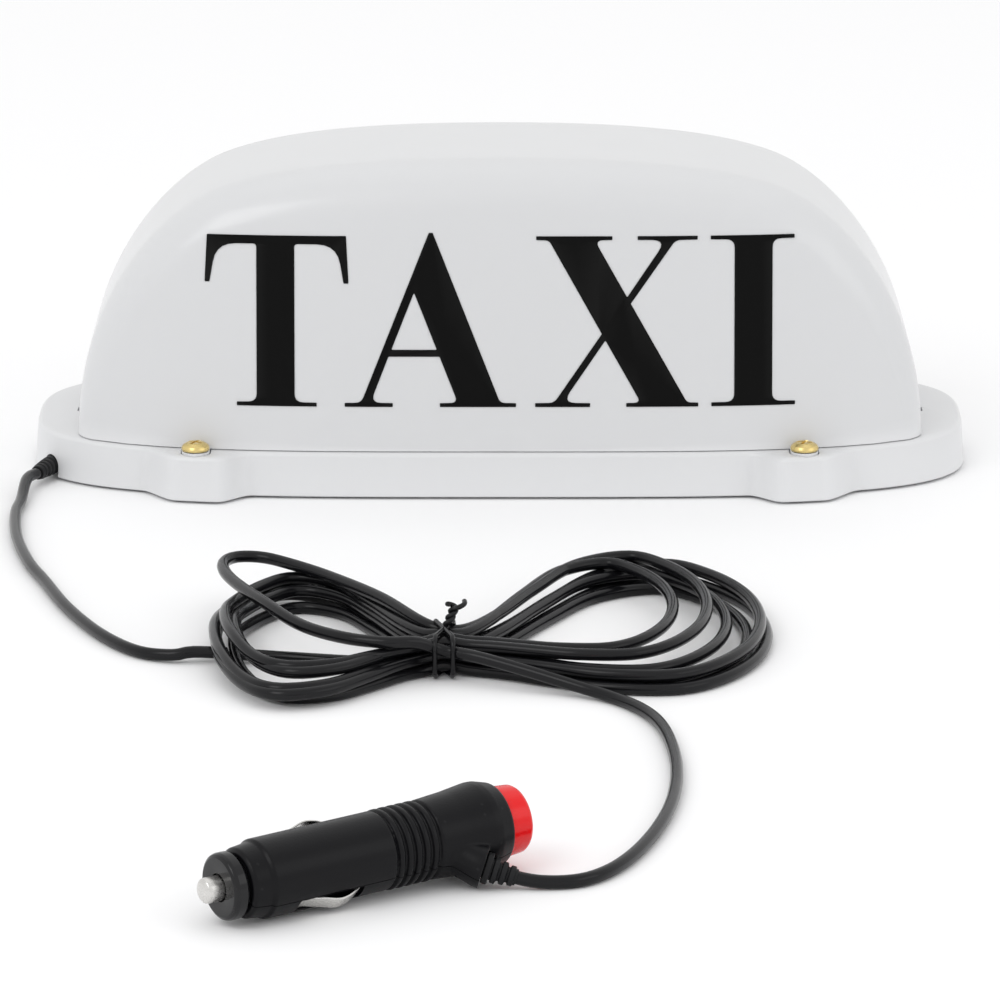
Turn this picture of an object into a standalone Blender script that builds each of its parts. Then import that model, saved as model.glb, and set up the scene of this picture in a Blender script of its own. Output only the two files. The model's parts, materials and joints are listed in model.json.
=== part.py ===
"""Magnetic roof light for a taxi, with its lead and its 12 V socket plug.

Every size is in millimetres and becomes metres when its mesh is made. The origin is the middle
of the sign's footprint, on the surface that it stands on: +X runs along the sign, -Y is the
front, where the lead lies, and +Z is up.
"""

import math

import bmesh
import bpy
from mathutils import Matrix, Vector

MM = 0.001
GAP = 0.3  # clearance that touching pieces keep

# Base moulding
BASE_HALF_LENGTH = 150.0
BASE_HALF_DEPTH = 58.0
BASE_HEIGHT = 15.0  # top of the deck above the surface
PLAN_POWER_X = 3.6  # the plan is a superellipse with these two powers
PLAN_POWER_Y = 3.0
SKIRT_CLEARANCE = 0.8  # under the skirt, because the pads carry the sign
SKIRT_WALL = 2.5
SKIRT_DRAFT = 0.9
DECK_THICKNESS = 3.0
EDGE_RADIUS = 1.6
LOBE_X = 96.0  # the four screw lobes
LOBE_HALF_FLAT = 6.5
LOBE_RAMP = 12.0
LOBE_MARGIN = 6.5  # from the screw's axis to the lobe's outer face
PLAN_STEPS = 32

# Dome
DOME_HALF_LENGTH = 134.5
DOME_HEIGHT = 88.7  # foot to crown
DOME_WALL = 2.4
DOME_LEDGE = 2.0  # the dome's foot stands this far inside the base's outline
FACE_LEAN = math.radians(10)
EDGE_ROUND_FOOT = 5.0
EDGE_ROUND_CROWN = 14.0
SHOULDER_X = 90.0  # where the crown's shallow arc turns into the side's sweep
SHOULDER_Z = 78.8
SHOULDER_SLOPE = 0.41
CROWN_HANDLE = 40.7  # lengths of the four Bezier handles of the silhouette
SHOULDER_HANDLE_IN = 18.9
SHOULDER_HANDLE_OUT = 20.3
FOOT_HANDLE = 42.3
SIDE_STEPS = 9
CROWN_STEPS = 5

# Seal, ears, screws and inserts
SEAL_WIDTH = 1.8
SEAL_HEIGHT = 1.5
SEAL_CLEARANCE = 0.6  # inside the dome's leaning wall
EAR_RADIUS = 4.4
EAR_THICKNESS = 2.1
EAR_OVERLAP = 0.5  # the ear's top stands this far above the dome's foot
SCREW_HEAD_RADIUS = 4.5
SCREW_HEAD_HEIGHT = 2.7
SCREW_SHANK_RADIUS = 1.7
SCREW_LENGTH = 9.5
INSERT_RADIUS = 3.1
INSERT_BORE = 2.1
INSERT_LENGTH = 7.5
BOSS_RADIUS = 4.9

# Magnets
MAGNET_X = 82.0
MAGNET_Y = 27.0
MAGNET_RADIUS = 15.5
MAGNET_HEIGHT = 5.0
PAD_RADIUS = 17.5
PAD_HEIGHT = 1.5
YOKE_WALL = 1.3

# Lamp board
BOARD_LENGTH = 190.0
BOARD_WIDTH = 18.0
BOARD_THICKNESS = 1.6
STANDOFF_X = 85.0
STANDOFF_RADIUS = 4.0
STANDOFF_HEIGHT = 4.0
BOARD_SCREW_RADIUS = 1.2
BOARD_SCREW_HEAD = 2.6
BOARD_SCREW_LENGTH = 5.0
LAMP_COUNT = 6
LAMP_PITCH = 25.0
LAMP_SIZE = 9.0
LAMP_HEIGHT = 2.4

# Letters
LETTER_BOTTOM = 29.2
LETTER_HEIGHT = 53.0
LETTER_UNIT = 55.6  # the outlines' x shares are of this
LETTER_THICKNESS = 0.3
LETTER_STRIP = 15.0  # a letter is cut into strips this wide, so that it follows the face

# Lead
DRAIN_HALF_WIDTH = 2.5
CORD_RADIUS = 1.8
CORD_FLOOR = CORD_RADIUS + 0.1
EXIT_X = -143.2
EXIT_Y = -29.6
EXIT_HEIGHT = 4.3
EXIT_TURN = math.radians(20)  # from -Y towards -X
GROMMET_RADIUS = 3.0
GROMMET_FLANGE = 3.9
GROMMET_NOSE = 12.0  # out of the skirt
GROMMET_TAIL = 11.0  # into the base
WIRE_RADIUS = 0.8
WIRE_HOLE_X = -112.0
WIRE_HOLE_RADIUS = 3.5
WIRE_SPLIT_Z = 17.0  # where the jacket ends and its two wires part
HANK_HEIGHT = 16.0
WAIST_HEIGHT = 13.0  # the tie draws the lead's runs down to this
WAIST_X = -16.0
WAIST_Y = -247.0
WAIST_HALF_WIDTH = 11.5
TIE_WIDTH = 2.2
TIE_THICKNESS = 0.9

# Plug, measured along its axis from the tip
PLUG_TIP = Vector((-75.3, -476.8))
PLUG_HEADING = math.radians(34)
PLUG_ROLL = math.radians(28)  # the branch points this far below the horizontal
TIP_RADIUS = 3.35
TIP_FLANGE_RADIUS = 4.9
TIP_STICKOUT = 5.2
RING_RADIUS = 8.8
RING_LENGTH = 4.2
RING_NECK_RADIUS = 6.9
RING_NECK_LENGTH = 5.5
RING_LIP = 1.5  # the ring's front wall, which keeps the tip in
SHELL_START = 10.4
SHELL_RADIUS = 10.4
SHELL_BORE = 7.3
SHELL_STEP = 16.4  # where the shell reaches its full radius
SEAM_GAP = 0.3
SHELL_BORE_END = 60.0
WIRE_WAY = 2.2  # radius of the wires' way between the bore and the switch
RIB_START = 52.5
RIB_DEPTH = 0.8
RIB_PITCH = 2.6
RIB_COUNT = 5
FLARE_AT = 83.0
FLARE_RADIUS = 12.0
COLLAR_END = 88.5
COLLAR_RADIUS = 10.9
BUTTON_RADIUS = 9.7
BUTTON_FACE_RADIUS = 8.9
BUTTON_STANDOUT = 7.0
BUTTON_TRAVEL = 2.5
BUTTON_STEM = 3.0
SWITCH_RADIUS = 6.6
SWITCH_LENGTH = 14.0
BRANCH_START = 67.0
BRANCH_END = 77.5
BRANCH_REACH = 13.5
BRANCH_RADIUS = 5.0
BRANCH_TILT = math.radians(42)  # the mouth's axis, from the plug's axis
RELIEF_LENGTH = 9.0
RELIEF_PLUG_RADIUS = 2.8
RELIEF_COLLAR_RADIUS = 4.2
CONTACT_ROLL = math.radians(15)
CONTACT_AT = 25.0  # hinge end of the side contact
CONTACT_LENGTH = 17.0
CONTACT_WIDTH = 4.3
CONTACT_THICKNESS = 0.5
CONTACT_BULGE = 1.5
SPRING_RADIUS = 3.4
SPRING_WIRE = 0.45
SPRING_TURNS = 5
FUSE_RADIUS = 3.0
FUSE_LENGTH = 25.0


# Worked-out places
FOOT_Z = BASE_HEIGHT + GAP
DECK_UNDER = BASE_HEIGHT - DECK_THICKNESS
BOARD_Z = BASE_HEIGHT + STANDOFF_HEIGHT + GAP
WELL_STEP = COLLAR_END - BUTTON_TRAVEL - 2.0  # where the button's well narrows to the switch's


def half_depth(x, inset=0.0):
    """Half depth of the base's plan at x, without the lobes, for an outline moved in by inset."""
    share = min(1.0, abs(x) / (BASE_HALF_LENGTH - inset))
    return (BASE_HALF_DEPTH - inset) * (1 - share**PLAN_POWER_X) ** (1 / PLAN_POWER_Y)


SCREW_Y = half_depth(LOBE_X, DOME_LEDGE) + SCREW_HEAD_RADIUS + 0.5
LOBE_PROJECTION = SCREW_Y + LOBE_MARGIN - half_depth(LOBE_X)
SCREW_PLACES = [(x, y) for y in (-SCREW_Y, SCREW_Y) for x in (-LOBE_X, LOBE_X)]
SCREW_NAMES = ["front_left", "front_right", "back_left", "back_right"]
MAGNET_PLACES = [(x, y) for y in (-MAGNET_Y, MAGNET_Y) for x in (-MAGNET_X, MAGNET_X)]


# ---------------------------------------------------------------- objects and materials


def clear_scene():
    for old in list(bpy.data.objects):
        bpy.data.objects.remove(old, do_unlink=True)


def finish(name, colour, roughness, metallic=0.0):
    """A Principled material."""
    made = bpy.data.materials.new(name)
    made.use_nodes = True
    shader = made.node_tree.nodes["Principled BSDF"]
    shader.inputs["Base Color"].default_value = (*colour, 1)
    shader.inputs["Roughness"].default_value = roughness
    shader.inputs["Metallic"].default_value = metallic
    return made


def make_finishes():
    return {
        "abs": finish("white_abs", (0.83, 0.84, 0.86), 0.35),
        "dome": finish("milk_acrylic", (0.86, 0.87, 0.89), 0.25),
        "letters": finish("black_vinyl", (0.02, 0.02, 0.02), 0.5),
        "zinc": finish("yellow_zinc", (0.72, 0.6, 0.28), 0.3, 1.0),
        "brass": finish("brass", (0.7, 0.52, 0.2), 0.35, 1.0),
        "steel": finish("steel", (0.6, 0.61, 0.62), 0.35, 1.0),
        "nickel": finish("nickel", (0.75, 0.75, 0.76), 0.15, 1.0),
        "ferrite": finish("ferrite", (0.09, 0.09, 0.1), 0.6),
        "rubber": finish("black_rubber", (0.02, 0.02, 0.02), 0.7),
        "silicone": finish("silicone", (0.7, 0.72, 0.73), 0.6),
        "board": finish("board_mask", (0.85, 0.86, 0.84), 0.4),
        "lamp": finish("lamp_phosphor", (0.9, 0.8, 0.3), 0.4),
        "red": finish("red_plastic", (0.85, 0.02, 0.02), 0.25),
        "wire_red": finish("red_pvc", (0.7, 0.04, 0.03), 0.45),
        "wire_black": finish("black_pvc", (0.03, 0.03, 0.03), 0.45),
        "shell": finish("black_abs", (0.025, 0.025, 0.028), 0.4),
        "glass": finish("fuse_glass", (0.8, 0.85, 0.85), 0.1),
    }


def add(name, shape, material=None, parent=None, place=(0, 0, 0)):
    """Turn a bmesh in millimetres into an object, shaded smooth with its sharp edges kept."""
    bmesh.ops.scale(shape, vec=(MM, MM, MM), verts=shape.verts)
    mesh = bpy.data.meshes.new(name)
    shape.to_mesh(mesh)
    shape.free()
    mesh.shade_smooth()
    mesh.set_sharp_from_angle(angle=math.radians(35))
    made = bpy.data.objects.new(name, mesh)
    bpy.context.scene.collection.objects.link(made)
    made.location = [c * MM for c in place]
    if material is not None:
        mesh.materials.append(material)
    if parent is not None:
        made.parent = parent
    return made


def cutter(name, shape, parent=None):
    made = add(name, shape, parent=parent)
    made.hide_render = True
    made.display_type = "WIRE"
    return made


def combine(target, other, operation):
    step = target.modifiers.new(operation.lower(), "BOOLEAN")
    step.operation = operation
    step.object = other
    step.solver = "EXACT"


# ---------------------------------------------------------------- shapes


def face_outwards(shape):
    bmesh.ops.recalc_face_normals(shape, faces=shape.faces)
    if shape.calc_volume(signed=True) < 0:
        bmesh.ops.reverse_faces(shape, faces=shape.faces)


def loft(loops, closed=False):
    """Skin a list of loops with the same number of points; the ends are capped unless closed."""
    shape = bmesh.new()
    rings = [[shape.verts.new(p) for p in loop] for loop in loops]
    count = len(rings[0])
    pairs = list(zip(rings, rings[1:]))
    if closed:
        pairs.append((rings[-1], rings[0]))
    for low, high in pairs:
        for i in range(count):
            j = (i + 1) % count
            shape.faces.new((low[i], low[j], high[j], high[i]))
    if not closed:
        shape.faces.new(rings[0][::-1])
        shape.faces.new(rings[-1])
    face_outwards(shape)
    return shape


def join(shapes):
    """One bmesh that holds several separate bodies, for a cutter."""
    whole = bmesh.new()
    for shape in shapes:
        part = bpy.data.meshes.new("part")
        shape.to_mesh(part)
        shape.free()
        whole.from_mesh(part)
        bpy.data.meshes.remove(part)
    return whole


def turn_x(shape):
    """Lay a shape that stands on +Z along +X."""
    shape.transform(Matrix.Rotation(math.radians(90), 4, "Y"))
    return shape


def lathe(profile, segments=20, place=(0, 0, 0)):
    """Body turned about Z from (radius, height) points that run from axis to axis; a flat end
    is one face, and a crowned end closes at a point."""
    shape = bmesh.new()
    rings = []
    for radius, height in profile:
        if radius == 0:
            rings.append([shape.verts.new((0, 0, height))] * segments)
            continue
        rings.append([shape.verts.new(polar(radius, (i + 0.5) / segments, height)) for i in range(segments)])
    for (low, high), ends in zip(zip(rings, rings[1:]), zip(profile, profile[1:])):
        flat = ends[0][1] == ends[1][1]
        if 0 in (ends[0][0], ends[1][0]) and flat:
            shape.faces.new(high if ends[0][0] == 0 else low)
            continue
        for i in range(segments):
            j = (i + 1) % segments
            corners = [low[i], low[j], high[j], high[i]]
            shape.faces.new([v for k, v in enumerate(corners) if v not in corners[:k]])
    loose = [v for v in shape.verts if not v.link_faces]
    bmesh.ops.delete(shape, geom=loose, context="VERTS")
    face_outwards(shape)
    bmesh.ops.translate(shape, vec=place, verts=shape.verts)
    return shape


def tube_ring(inner, outer, low, high, segments=20):
    """A plain washer or bush about Z."""
    loops = []
    for radius, height in ((outer, low), (outer, high), (inner, high), (inner, low)):
        loops.append([polar(radius, i / segments, height) for i in range(segments)])
    return loft(loops, closed=True)


def polar(radius, share, height):
    angle = 2 * math.pi * share
    return (radius * math.cos(angle), radius * math.sin(angle), height)


def cylinder(radius, low, high, segments=20, place=(0, 0, 0)):
    return lathe([(0, low), (radius, low), (radius, high), (0, high)], segments, place)


def box(low, high):
    corners = [(low[0], low[1]), (high[0], low[1]), (high[0], high[1]), (low[0], high[1])]
    return loft([[(x, y, z) for x, y in corners] for z in (low[2], high[2])])


def smooth_route(points, spacing, closed=False):
    """Points at an even spacing on a Catmull-Rom curve through the given points."""
    fine = []
    count = len(points)
    last = count if closed else count - 1
    for i in range(last):
        if closed:
            a, b, c, d = (Vector(points[(i + k) % count]) for k in (-1, 0, 1, 2))
        else:
            a, b, c, d = (Vector(points[min(max(i + k, 0), count - 1)]) for k in (-1, 0, 1, 2))
        for step in range(40):
            t = step / 40
            bend = (2 * a - 5 * b + 4 * c - d) * t * t + (3 * b - a - 3 * c + d) * t**3
            fine.append(b + ((c - a) * t + bend) / 2)
    fine.append(Vector(points[0 if closed else -1]))
    travelled = [0.0]
    for p, q in zip(fine, fine[1:]):
        travelled.append(travelled[-1] + (q - p).length)
    steps = max(2, round(travelled[-1] / spacing))
    route, k = [], 0
    for i in range(steps + (0 if closed else 1)):
        target = travelled[-1] * i / steps
        while k < len(fine) - 2 and travelled[k + 1] < target:
            k += 1
        share = (target - travelled[k]) / max(travelled[k + 1] - travelled[k], 1e-9)
        route.append(fine[k].lerp(fine[k + 1], min(share, 1)))
    return route


def tube(name, route, radius, material, parent=None):
    """A round cord along a route, as a bevelled curve with filled ends."""
    data = bpy.data.curves.new(name, "CURVE")
    data.dimensions = "3D"
    data.bevel_depth = radius * MM
    data.bevel_resolution = 2
    data.use_fill_caps = True
    spline = data.splines.new("POLY")
    spline.points.add(len(route) - 1)
    for point, place in zip(spline.points, route):
        point.co = (*(c * MM for c in place), 1)
    data.materials.append(material)
    made = bpy.data.objects.new(name, data)
    bpy.context.scene.collection.objects.link(made)
    if parent is not None:
        made.parent = parent
    return made


# ---------------------------------------------------------------- base


def lobe(x, inset):
    """How far the screw lobe stands out of the plan at x."""
    past = abs(abs(x) - LOBE_X) - (LOBE_HALF_FLAT - inset)
    if past <= 0:
        return LOBE_PROJECTION
    if past >= LOBE_RAMP:
        return 0.0
    return LOBE_PROJECTION * (1 + math.cos(math.pi * past / LOBE_RAMP)) / 2


def plan_stations():
    """x of the outline's points along one side, closer together at the lobes."""
    reach = LOBE_HALF_FLAT + LOBE_RAMP + 1
    stations = []
    for i in range(PLAN_STEPS + 1):
        share = math.cos(math.pi * i / PLAN_STEPS)
        x = math.copysign(BASE_HALF_LENGTH * abs(share) ** (2 / PLAN_POWER_X), share)
        if abs(abs(x) - LOBE_X) > reach:
            stations.append(x)
    for side in (-1, 1):
        for i in range(-5, 6):
            stations.append(side * LOBE_X + reach * i / 5)
    return sorted(stations, reverse=True)


def base_loop(z, inset):
    """The base's outline with its lobes, moved in by inset, at height z."""
    shrink = (BASE_HALF_LENGTH - inset) / BASE_HALF_LENGTH
    front = []
    for station in plan_stations():
        x = station * shrink
        front.append((x, -half_depth(x, inset) - lobe(x, inset), z))
    back = [(x, -y, z) for x, y, z in reversed(front[1:-1])]
    return front + back


def base_loops():
    """From the deck's underside, down the skirt's inside and up its outside to the deck's top."""
    under = base_loop(DECK_UNDER, SKIRT_WALL + SKIRT_DRAFT)
    loops = [under, base_loop(SKIRT_CLEARANCE, SKIRT_WALL), base_loop(SKIRT_CLEARANCE, 0)]
    for step in range(3):
        angle = math.radians(45 * step)
        inset = SKIRT_DRAFT + EDGE_RADIUS * (1 - math.cos(angle))
        loops.append(base_loop(BASE_HEIGHT - EDGE_RADIUS * (1 - math.sin(angle)), inset))
    return loops


def ear_body(place, radius, inner_y, low, high):
    """Tab about a screw: a half round outside and a square end towards the dome."""
    side = 1 if place[1] < 0 else -1
    turns = [math.pi * i / 10 for i in range(11)]
    outline = [(radius * math.cos(a), -radius * math.sin(a)) for a in turns]
    outline += [(-radius, inner_y), (radius, inner_y)]
    return loft([[(place[0] + x, place[1] + side * y, z) for x, y in outline] for z in (low, high)])


def wall_offset(share):
    """Distance from a screw's axis in to the dome's wall, 0 at its outer face and 1 at its inner."""
    return SCREW_Y - half_depth(LOBE_X, DOME_LEDGE + DOME_WALL * share)


def exit_frame():
    """The lead's way out through the skirt: +Z of this frame points out of the base."""
    outward = Vector((-math.sin(EXIT_TURN), -math.cos(EXIT_TURN), 0))
    turned = outward.to_track_quat("Z", "Y").to_matrix().to_4x4()
    return Matrix.Translation((EXIT_X, EXIT_Y, EXIT_HEIGHT)) @ turned


def along_exit(distance):
    return exit_frame() @ Vector((0, 0, distance))


def cord_notch():
    """An upside-down U through the skirt for the grommet."""
    radius = GROMMET_RADIUS + GAP
    turns = [math.pi * i / 10 for i in range(11)]
    outline = [(radius * math.cos(a), radius * math.sin(a)) for a in turns]
    outline += [(-radius, -EXIT_HEIGHT - 1), (radius, -EXIT_HEIGHT - 1)]
    side = Vector((math.cos(EXIT_TURN), -math.sin(EXIT_TURN), 0))
    loops = []
    for distance in (-9.0, 12.0):
        middle = along_exit(distance)
        loops.append([middle + side * x + Vector((0, 0, z)) for x, z in outline])
    return loft(loops)


def make_base(finishes):
    base = add("base_shell", loft(base_loops()), finishes["abs"])
    seat = PAD_HEIGHT + MAGNET_HEIGHT + YOKE_WALL + 3 * GAP
    bosses = [(BOSS_RADIUS, SKIRT_CLEARANCE + 1.2, DECK_UNDER + 1, place) for place in SCREW_PLACES]
    bosses += [(MAGNET_RADIUS - 4, seat, DECK_UNDER + 1, place) for place in MAGNET_PLACES]
    for x in (-STANDOFF_X, STANDOFF_X):
        bosses.append((STANDOFF_RADIUS, BASE_HEIGHT - 1, BASE_HEIGHT + STANDOFF_HEIGHT, (x, 0)))
    raised = [cylinder(radius, low, high, 14, (*place, 0)) for radius, low, high, place in bosses]
    rib_reach = BASE_HALF_DEPTH - SKIRT_WALL - SKIRT_DRAFT - 2
    for x in (-42, 0, 42):
        raised.append(box((x - 1, -rib_reach, DECK_UNDER - 4), (x + 1, rib_reach, DECK_UNDER + 1)))
    combine(base, cutter("base_raised", join(raised)), "UNION")

    ear_floor = FOOT_Z + EAR_OVERLAP - EAR_THICKNESS - GAP
    pockets = [
        ear_body(place, EAR_RADIUS + GAP, wall_offset(0.5) + GAP, ear_floor, BASE_HEIGHT + 2)
        for place in SCREW_PLACES
    ]
    combine(base, cutter("ear_pockets", join(pockets)), "DIFFERENCE")
    bore_floor = ear_floor - INSERT_LENGTH - 2
    bores = [
        cylinder(INSERT_RADIUS + GAP, bore_floor, ear_floor + 1, 12, (*place, 0)) for place in SCREW_PLACES
    ]
    for x in (-STANDOFF_X, STANDOFF_X):
        top = BASE_HEIGHT + STANDOFF_HEIGHT + 1
        bores.append(cylinder(BOARD_SCREW_RADIUS + GAP, BASE_HEIGHT - 1.5, top, 10, (x, 0, 0)))
    bores.append(cylinder(WIRE_HOLE_RADIUS, DECK_UNDER - 1, BASE_HEIGHT + 1, 14, (WIRE_HOLE_X, 0, 0)))
    for side in (-1, 1):
        near, far = sorted((side * (DOME_HALF_LENGTH + 0.5), side * (DOME_HALF_LENGTH + 2.3)))
        top = BASE_HEIGHT + 1
        bores.append(box((near, -DRAIN_HALF_WIDTH, DECK_UNDER - 1), (far, DRAIN_HALF_WIDTH, top)))
    combine(base, cutter("base_bores", join(bores)), "DIFFERENCE")
    combine(base, cutter("cord_notch", cord_notch()), "DIFFERENCE")


# ---------------------------------------------------------------- dome


def bezier(a, b, c, d, t):
    return a * (1 - t) ** 3 + b * 3 * t * (1 - t) ** 2 + c * 3 * t * t * (1 - t) + d * t**3


def silhouette():
    """Front view of the dome from the right foot over the crown to the left foot, as
    (point, inward normal) pairs with heights above the foot."""
    shoulder = Vector((SHOULDER_X, SHOULDER_Z))
    lean = Vector((1, -SHOULDER_SLOPE)).normalized()
    foot = Vector((DOME_HALF_LENGTH, 0))
    crown = Vector((0, DOME_HEIGHT))
    side = (foot, foot + Vector((0, FOOT_HANDLE)), shoulder + lean * SHOULDER_HANDLE_OUT, shoulder)
    top = (shoulder, shoulder - lean * SHOULDER_HANDLE_IN, crown + Vector((CROWN_HANDLE, 0)), crown)
    half = []
    for handles, count in ((side, SIDE_STEPS), (top, CROWN_STEPS)):
        for i in range(count + (handles is top)):
            t = i / count
            along = bezier(*handles, min(t + 0.001, 1)) - bezier(*handles, max(t - 0.001, 0))
            half.append((bezier(*handles, t), Vector((-along.y, along.x)).normalized()))
    mirrored = [(Vector((-p.x, p.y)), Vector((-n.x, n.y))) for p, n in reversed(half[:-1])]
    return half + mirrored


def edge_round(height):
    return EDGE_ROUND_FOOT + (EDGE_ROUND_CROWN - EDGE_ROUND_FOOT) * height / DOME_HEIGHT


def face_plane(x, height):
    """Half depth of the leaning, bowed face, before its edge is rounded."""
    return half_depth(x, DOME_LEDGE) - height * math.tan(FACE_LEAN)


def face_depth(x, height, edge):
    """Half depth of the dome's skin at a point of the front view."""
    here = Vector((x, height))
    inside = min((here - p).length for p, _ in edge)
    radius = edge_round(height)
    past = max(0.0, radius - inside)
    return face_plane(x, height) - radius + math.sqrt(radius**2 - past**2)


def dome_columns(inset):
    """For each silhouette point, the section from the rim's middle to near the front's middle."""
    columns = []
    for outer, inward in silhouette():
        edge = outer + inward * inset
        radius = edge_round(outer.y) - inset
        rim = face_plane(outer.x, outer.y) - inset - radius
        column = [Vector((edge.x, -rim * k / 2, edge.y)) for k in range(2)]
        for step in range(4):
            angle = math.radians(30 * step)
            spot = edge + inward * radius * (1 - math.cos(angle))
            deep = face_plane(spot.x, spot.y) - inset - radius * (1 - math.sin(angle))
            column.append(Vector((spot.x, -deep, spot.y)))
        start = edge + inward * radius
        for share in (0.25, 0.6):
            spot = start * (1 - share)
            column.append(Vector((spot.x, inset - face_plane(spot.x, spot.y), spot.y)))
        columns.append(column)
    return columns


def foot_loop(z, inset):
    """The dome's foot outline, moved in by inset."""
    right = [(p.x, p.y) for p in dome_columns(inset)[0]]
    front = right + [(0, inset - face_plane(0, 0))] + [(-x, y) for x, y in reversed(right)]
    back = [(x, -y) for x, y in reversed(front[1:-1])]
    return [(x, y, z) for x, y in front + back]


def dome_skin(shape, inset):
    """One skin of the dome; gives back the vertices round its open foot."""
    lift = Vector((0, 0, FOOT_Z))
    middle = face_plane(0, 0) - inset
    poles = [shape.verts.new(Vector((0, side * middle, 0)) + lift) for side in (-1, 1)]
    grid = []
    for column in dome_columns(inset):
        section = [p + lift for p in reversed(column)]
        section += [Vector((p.x, -p.y, p.z)) + lift for p in column[1:]]
        grid.append([shape.verts.new(p) for p in section])
    for left, right in zip(grid, grid[1:]):
        for k in range(len(left) - 1):
            shape.faces.new((left[k], left[k + 1], right[k + 1], right[k]))
        shape.faces.new((poles[0], left[0], right[0]))
        shape.faces.new((poles[1], right[-1], left[-1]))
    return [poles[0], *grid[0], poles[1], *reversed(grid[-1])]


def make_dome(finishes):
    shape = bmesh.new()
    outside = dome_skin(shape, 0.0)
    inside = dome_skin(shape, DOME_WALL)
    for i in range(len(outside)):
        j = (i + 1) % len(outside)
        shape.faces.new((outside[i], outside[j], inside[j], inside[i]))
    face_outwards(shape)
    dome = add("dome_cover", shape, finishes["dome"])
    top = FOOT_Z + EAR_OVERLAP
    ears = [ear_body(p, EAR_RADIUS, wall_offset(0.5), top - EAR_THICKNESS, top) for p in SCREW_PLACES]
    combine(dome, cutter("dome_ears", join(ears)), "UNION")
    hole = SCREW_SHANK_RADIUS + GAP + 0.2
    holes = [cylinder(hole, top - EAR_THICKNESS - 1, top + 1, 12, (*p, 0)) for p in SCREW_PLACES]
    combine(dome, cutter("ear_holes", join(holes)), "DIFFERENCE")


def make_seal(finishes):
    """Silicone bead on the deck, just inside the dome's wall."""
    start = DOME_WALL + SEAL_CLEARANCE
    low, high = BASE_HEIGHT + GAP, BASE_HEIGHT + GAP + SEAL_HEIGHT
    outer, inner = start, start + SEAL_WIDTH
    loops = [foot_loop(low, outer), foot_loop(high, outer), foot_loop(high, inner), foot_loop(low, inner)]
    add("dome_seal", loft(loops, closed=True), finishes["silicone"])


# ---------------------------------------------------------------- letters

# Outlines of upright capitals with heavy stems and thin bars, in shares of a letter's height.
LETTER_T = [
    (0, 0.722), (0.012, 1), (0.806, 1), (0.818, 0.722), (0.79, 0.722), (0.77, 0.83),
    (0.73, 0.91), (0.66, 0.945), (0.511, 0.949), (0.511, 0.06), (0.54, 0.035), (0.636, 0.022),
    (0.636, 0), (0.182, 0), (0.182, 0.022), (0.27, 0.035), (0.295, 0.06), (0.295, 0.949),
    (0.158, 0.945), (0.088, 0.91), (0.048, 0.83), (0.028, 0.722),
]
LETTER_A = [
    (0, 0), (0, 0.022), (0.07, 0.03), (0.105, 0.05), (0.478, 1.02), (0.5, 1.02), (0.872, 0.05),
    (0.9, 0.03), (0.972, 0.022), (0.972, 0), (0.54, 0), (0.54, 0.022), (0.6, 0.03),
    (0.632, 0.05), (0.538, 0.295), (0.249, 0.295), (0.155, 0.05), (0.18, 0.03), (0.273, 0.022),
    (0.273, 0),
]
LETTER_A_EYE = [(0.265, 0.335), (0.523, 0.335), (0.394, 0.671)]
LETTER_X = [
    (0.006, 1), (0.437, 1), (0.437, 0.978), (0.38, 0.97), (0.352, 0.95), (0.521, 0.642),
    (0.727, 0.95), (0.7, 0.97), (0.58, 0.978), (0.58, 1), (0.92, 1), (0.92, 0.978),
    (0.81, 0.97), (0.773, 0.95), (0.542, 0.605), (0.847, 0.05), (0.88, 0.03), (0.926, 0.022),
    (0.926, 0), (0.517, 0), (0.517, 0.022), (0.56, 0.03), (0.585, 0.05), (0.398, 0.39),
    (0.17, 0.05), (0.2, 0.03), (0.312, 0.022), (0.312, 0), (0, 0), (0, 0.022), (0.09, 0.03),
    (0.125, 0.05), (0.378, 0.428), (0.091, 0.95), (0.06, 0.97), (0.006, 0.978),
]
LETTER_I = [
    (0, 1), (0.477, 1), (0.477, 0.978), (0.4, 0.97), (0.352, 0.945), (0.352, 0.055),
    (0.4, 0.03), (0.483, 0.022), (0.483, 0), (0.006, 0), (0.006, 0.022), (0.09, 0.03),
    (0.136, 0.055), (0.136, 0.945), (0.09, 0.97), (0, 0.978),
]
# (letter, its outlines, where it starts along the word), and the word's width
WORD = [("T", [LETTER_T], 0), ("A", [LETTER_A, LETTER_A_EYE], 0.795), ("X", [LETTER_X], 1.875)]
WORD.append(("I", [LETTER_I], 2.869))
WORD_WIDTH = 3.352


def flat_letter(outlines, start):
    """A flat plate of the letter in x and z, cut into strips so that it can bend."""
    data = bpy.data.curves.new("letter", "CURVE")
    data.dimensions = "2D"
    data.fill_mode = "BOTH"
    data.extrude = LETTER_THICKNESS / 2
    for outline in outlines:
        spline = data.splines.new("POLY")
        spline.points.add(len(outline) - 1)
        spline.use_cyclic_u = True
        for point, (x, height) in zip(spline.points, outline):
            across = (x + start - WORD_WIDTH / 2) * LETTER_UNIT
            point.co = (across, LETTER_BOTTOM + height * LETTER_HEIGHT, 0, 1)
    carrier = bpy.data.objects.new("letter", data)
    plate = bpy.data.meshes.new_from_object(carrier)
    bpy.data.objects.remove(carrier)
    shape = bmesh.new()
    shape.from_mesh(plate)
    bmesh.ops.remove_doubles(shape, verts=shape.verts, dist=0.001)
    half = WORD_WIDTH * LETTER_UNIT / 2
    for i in range(1, math.ceil(2 * half / LETTER_STRIP)):
        where = (i * LETTER_STRIP - half, 0, 0)
        geometry = [*shape.verts, *shape.edges, *shape.faces]
        bmesh.ops.bisect_plane(shape, geom=geometry, dist=0.001, plane_co=where, plane_no=(1, 0, 0))
    return shape


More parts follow.
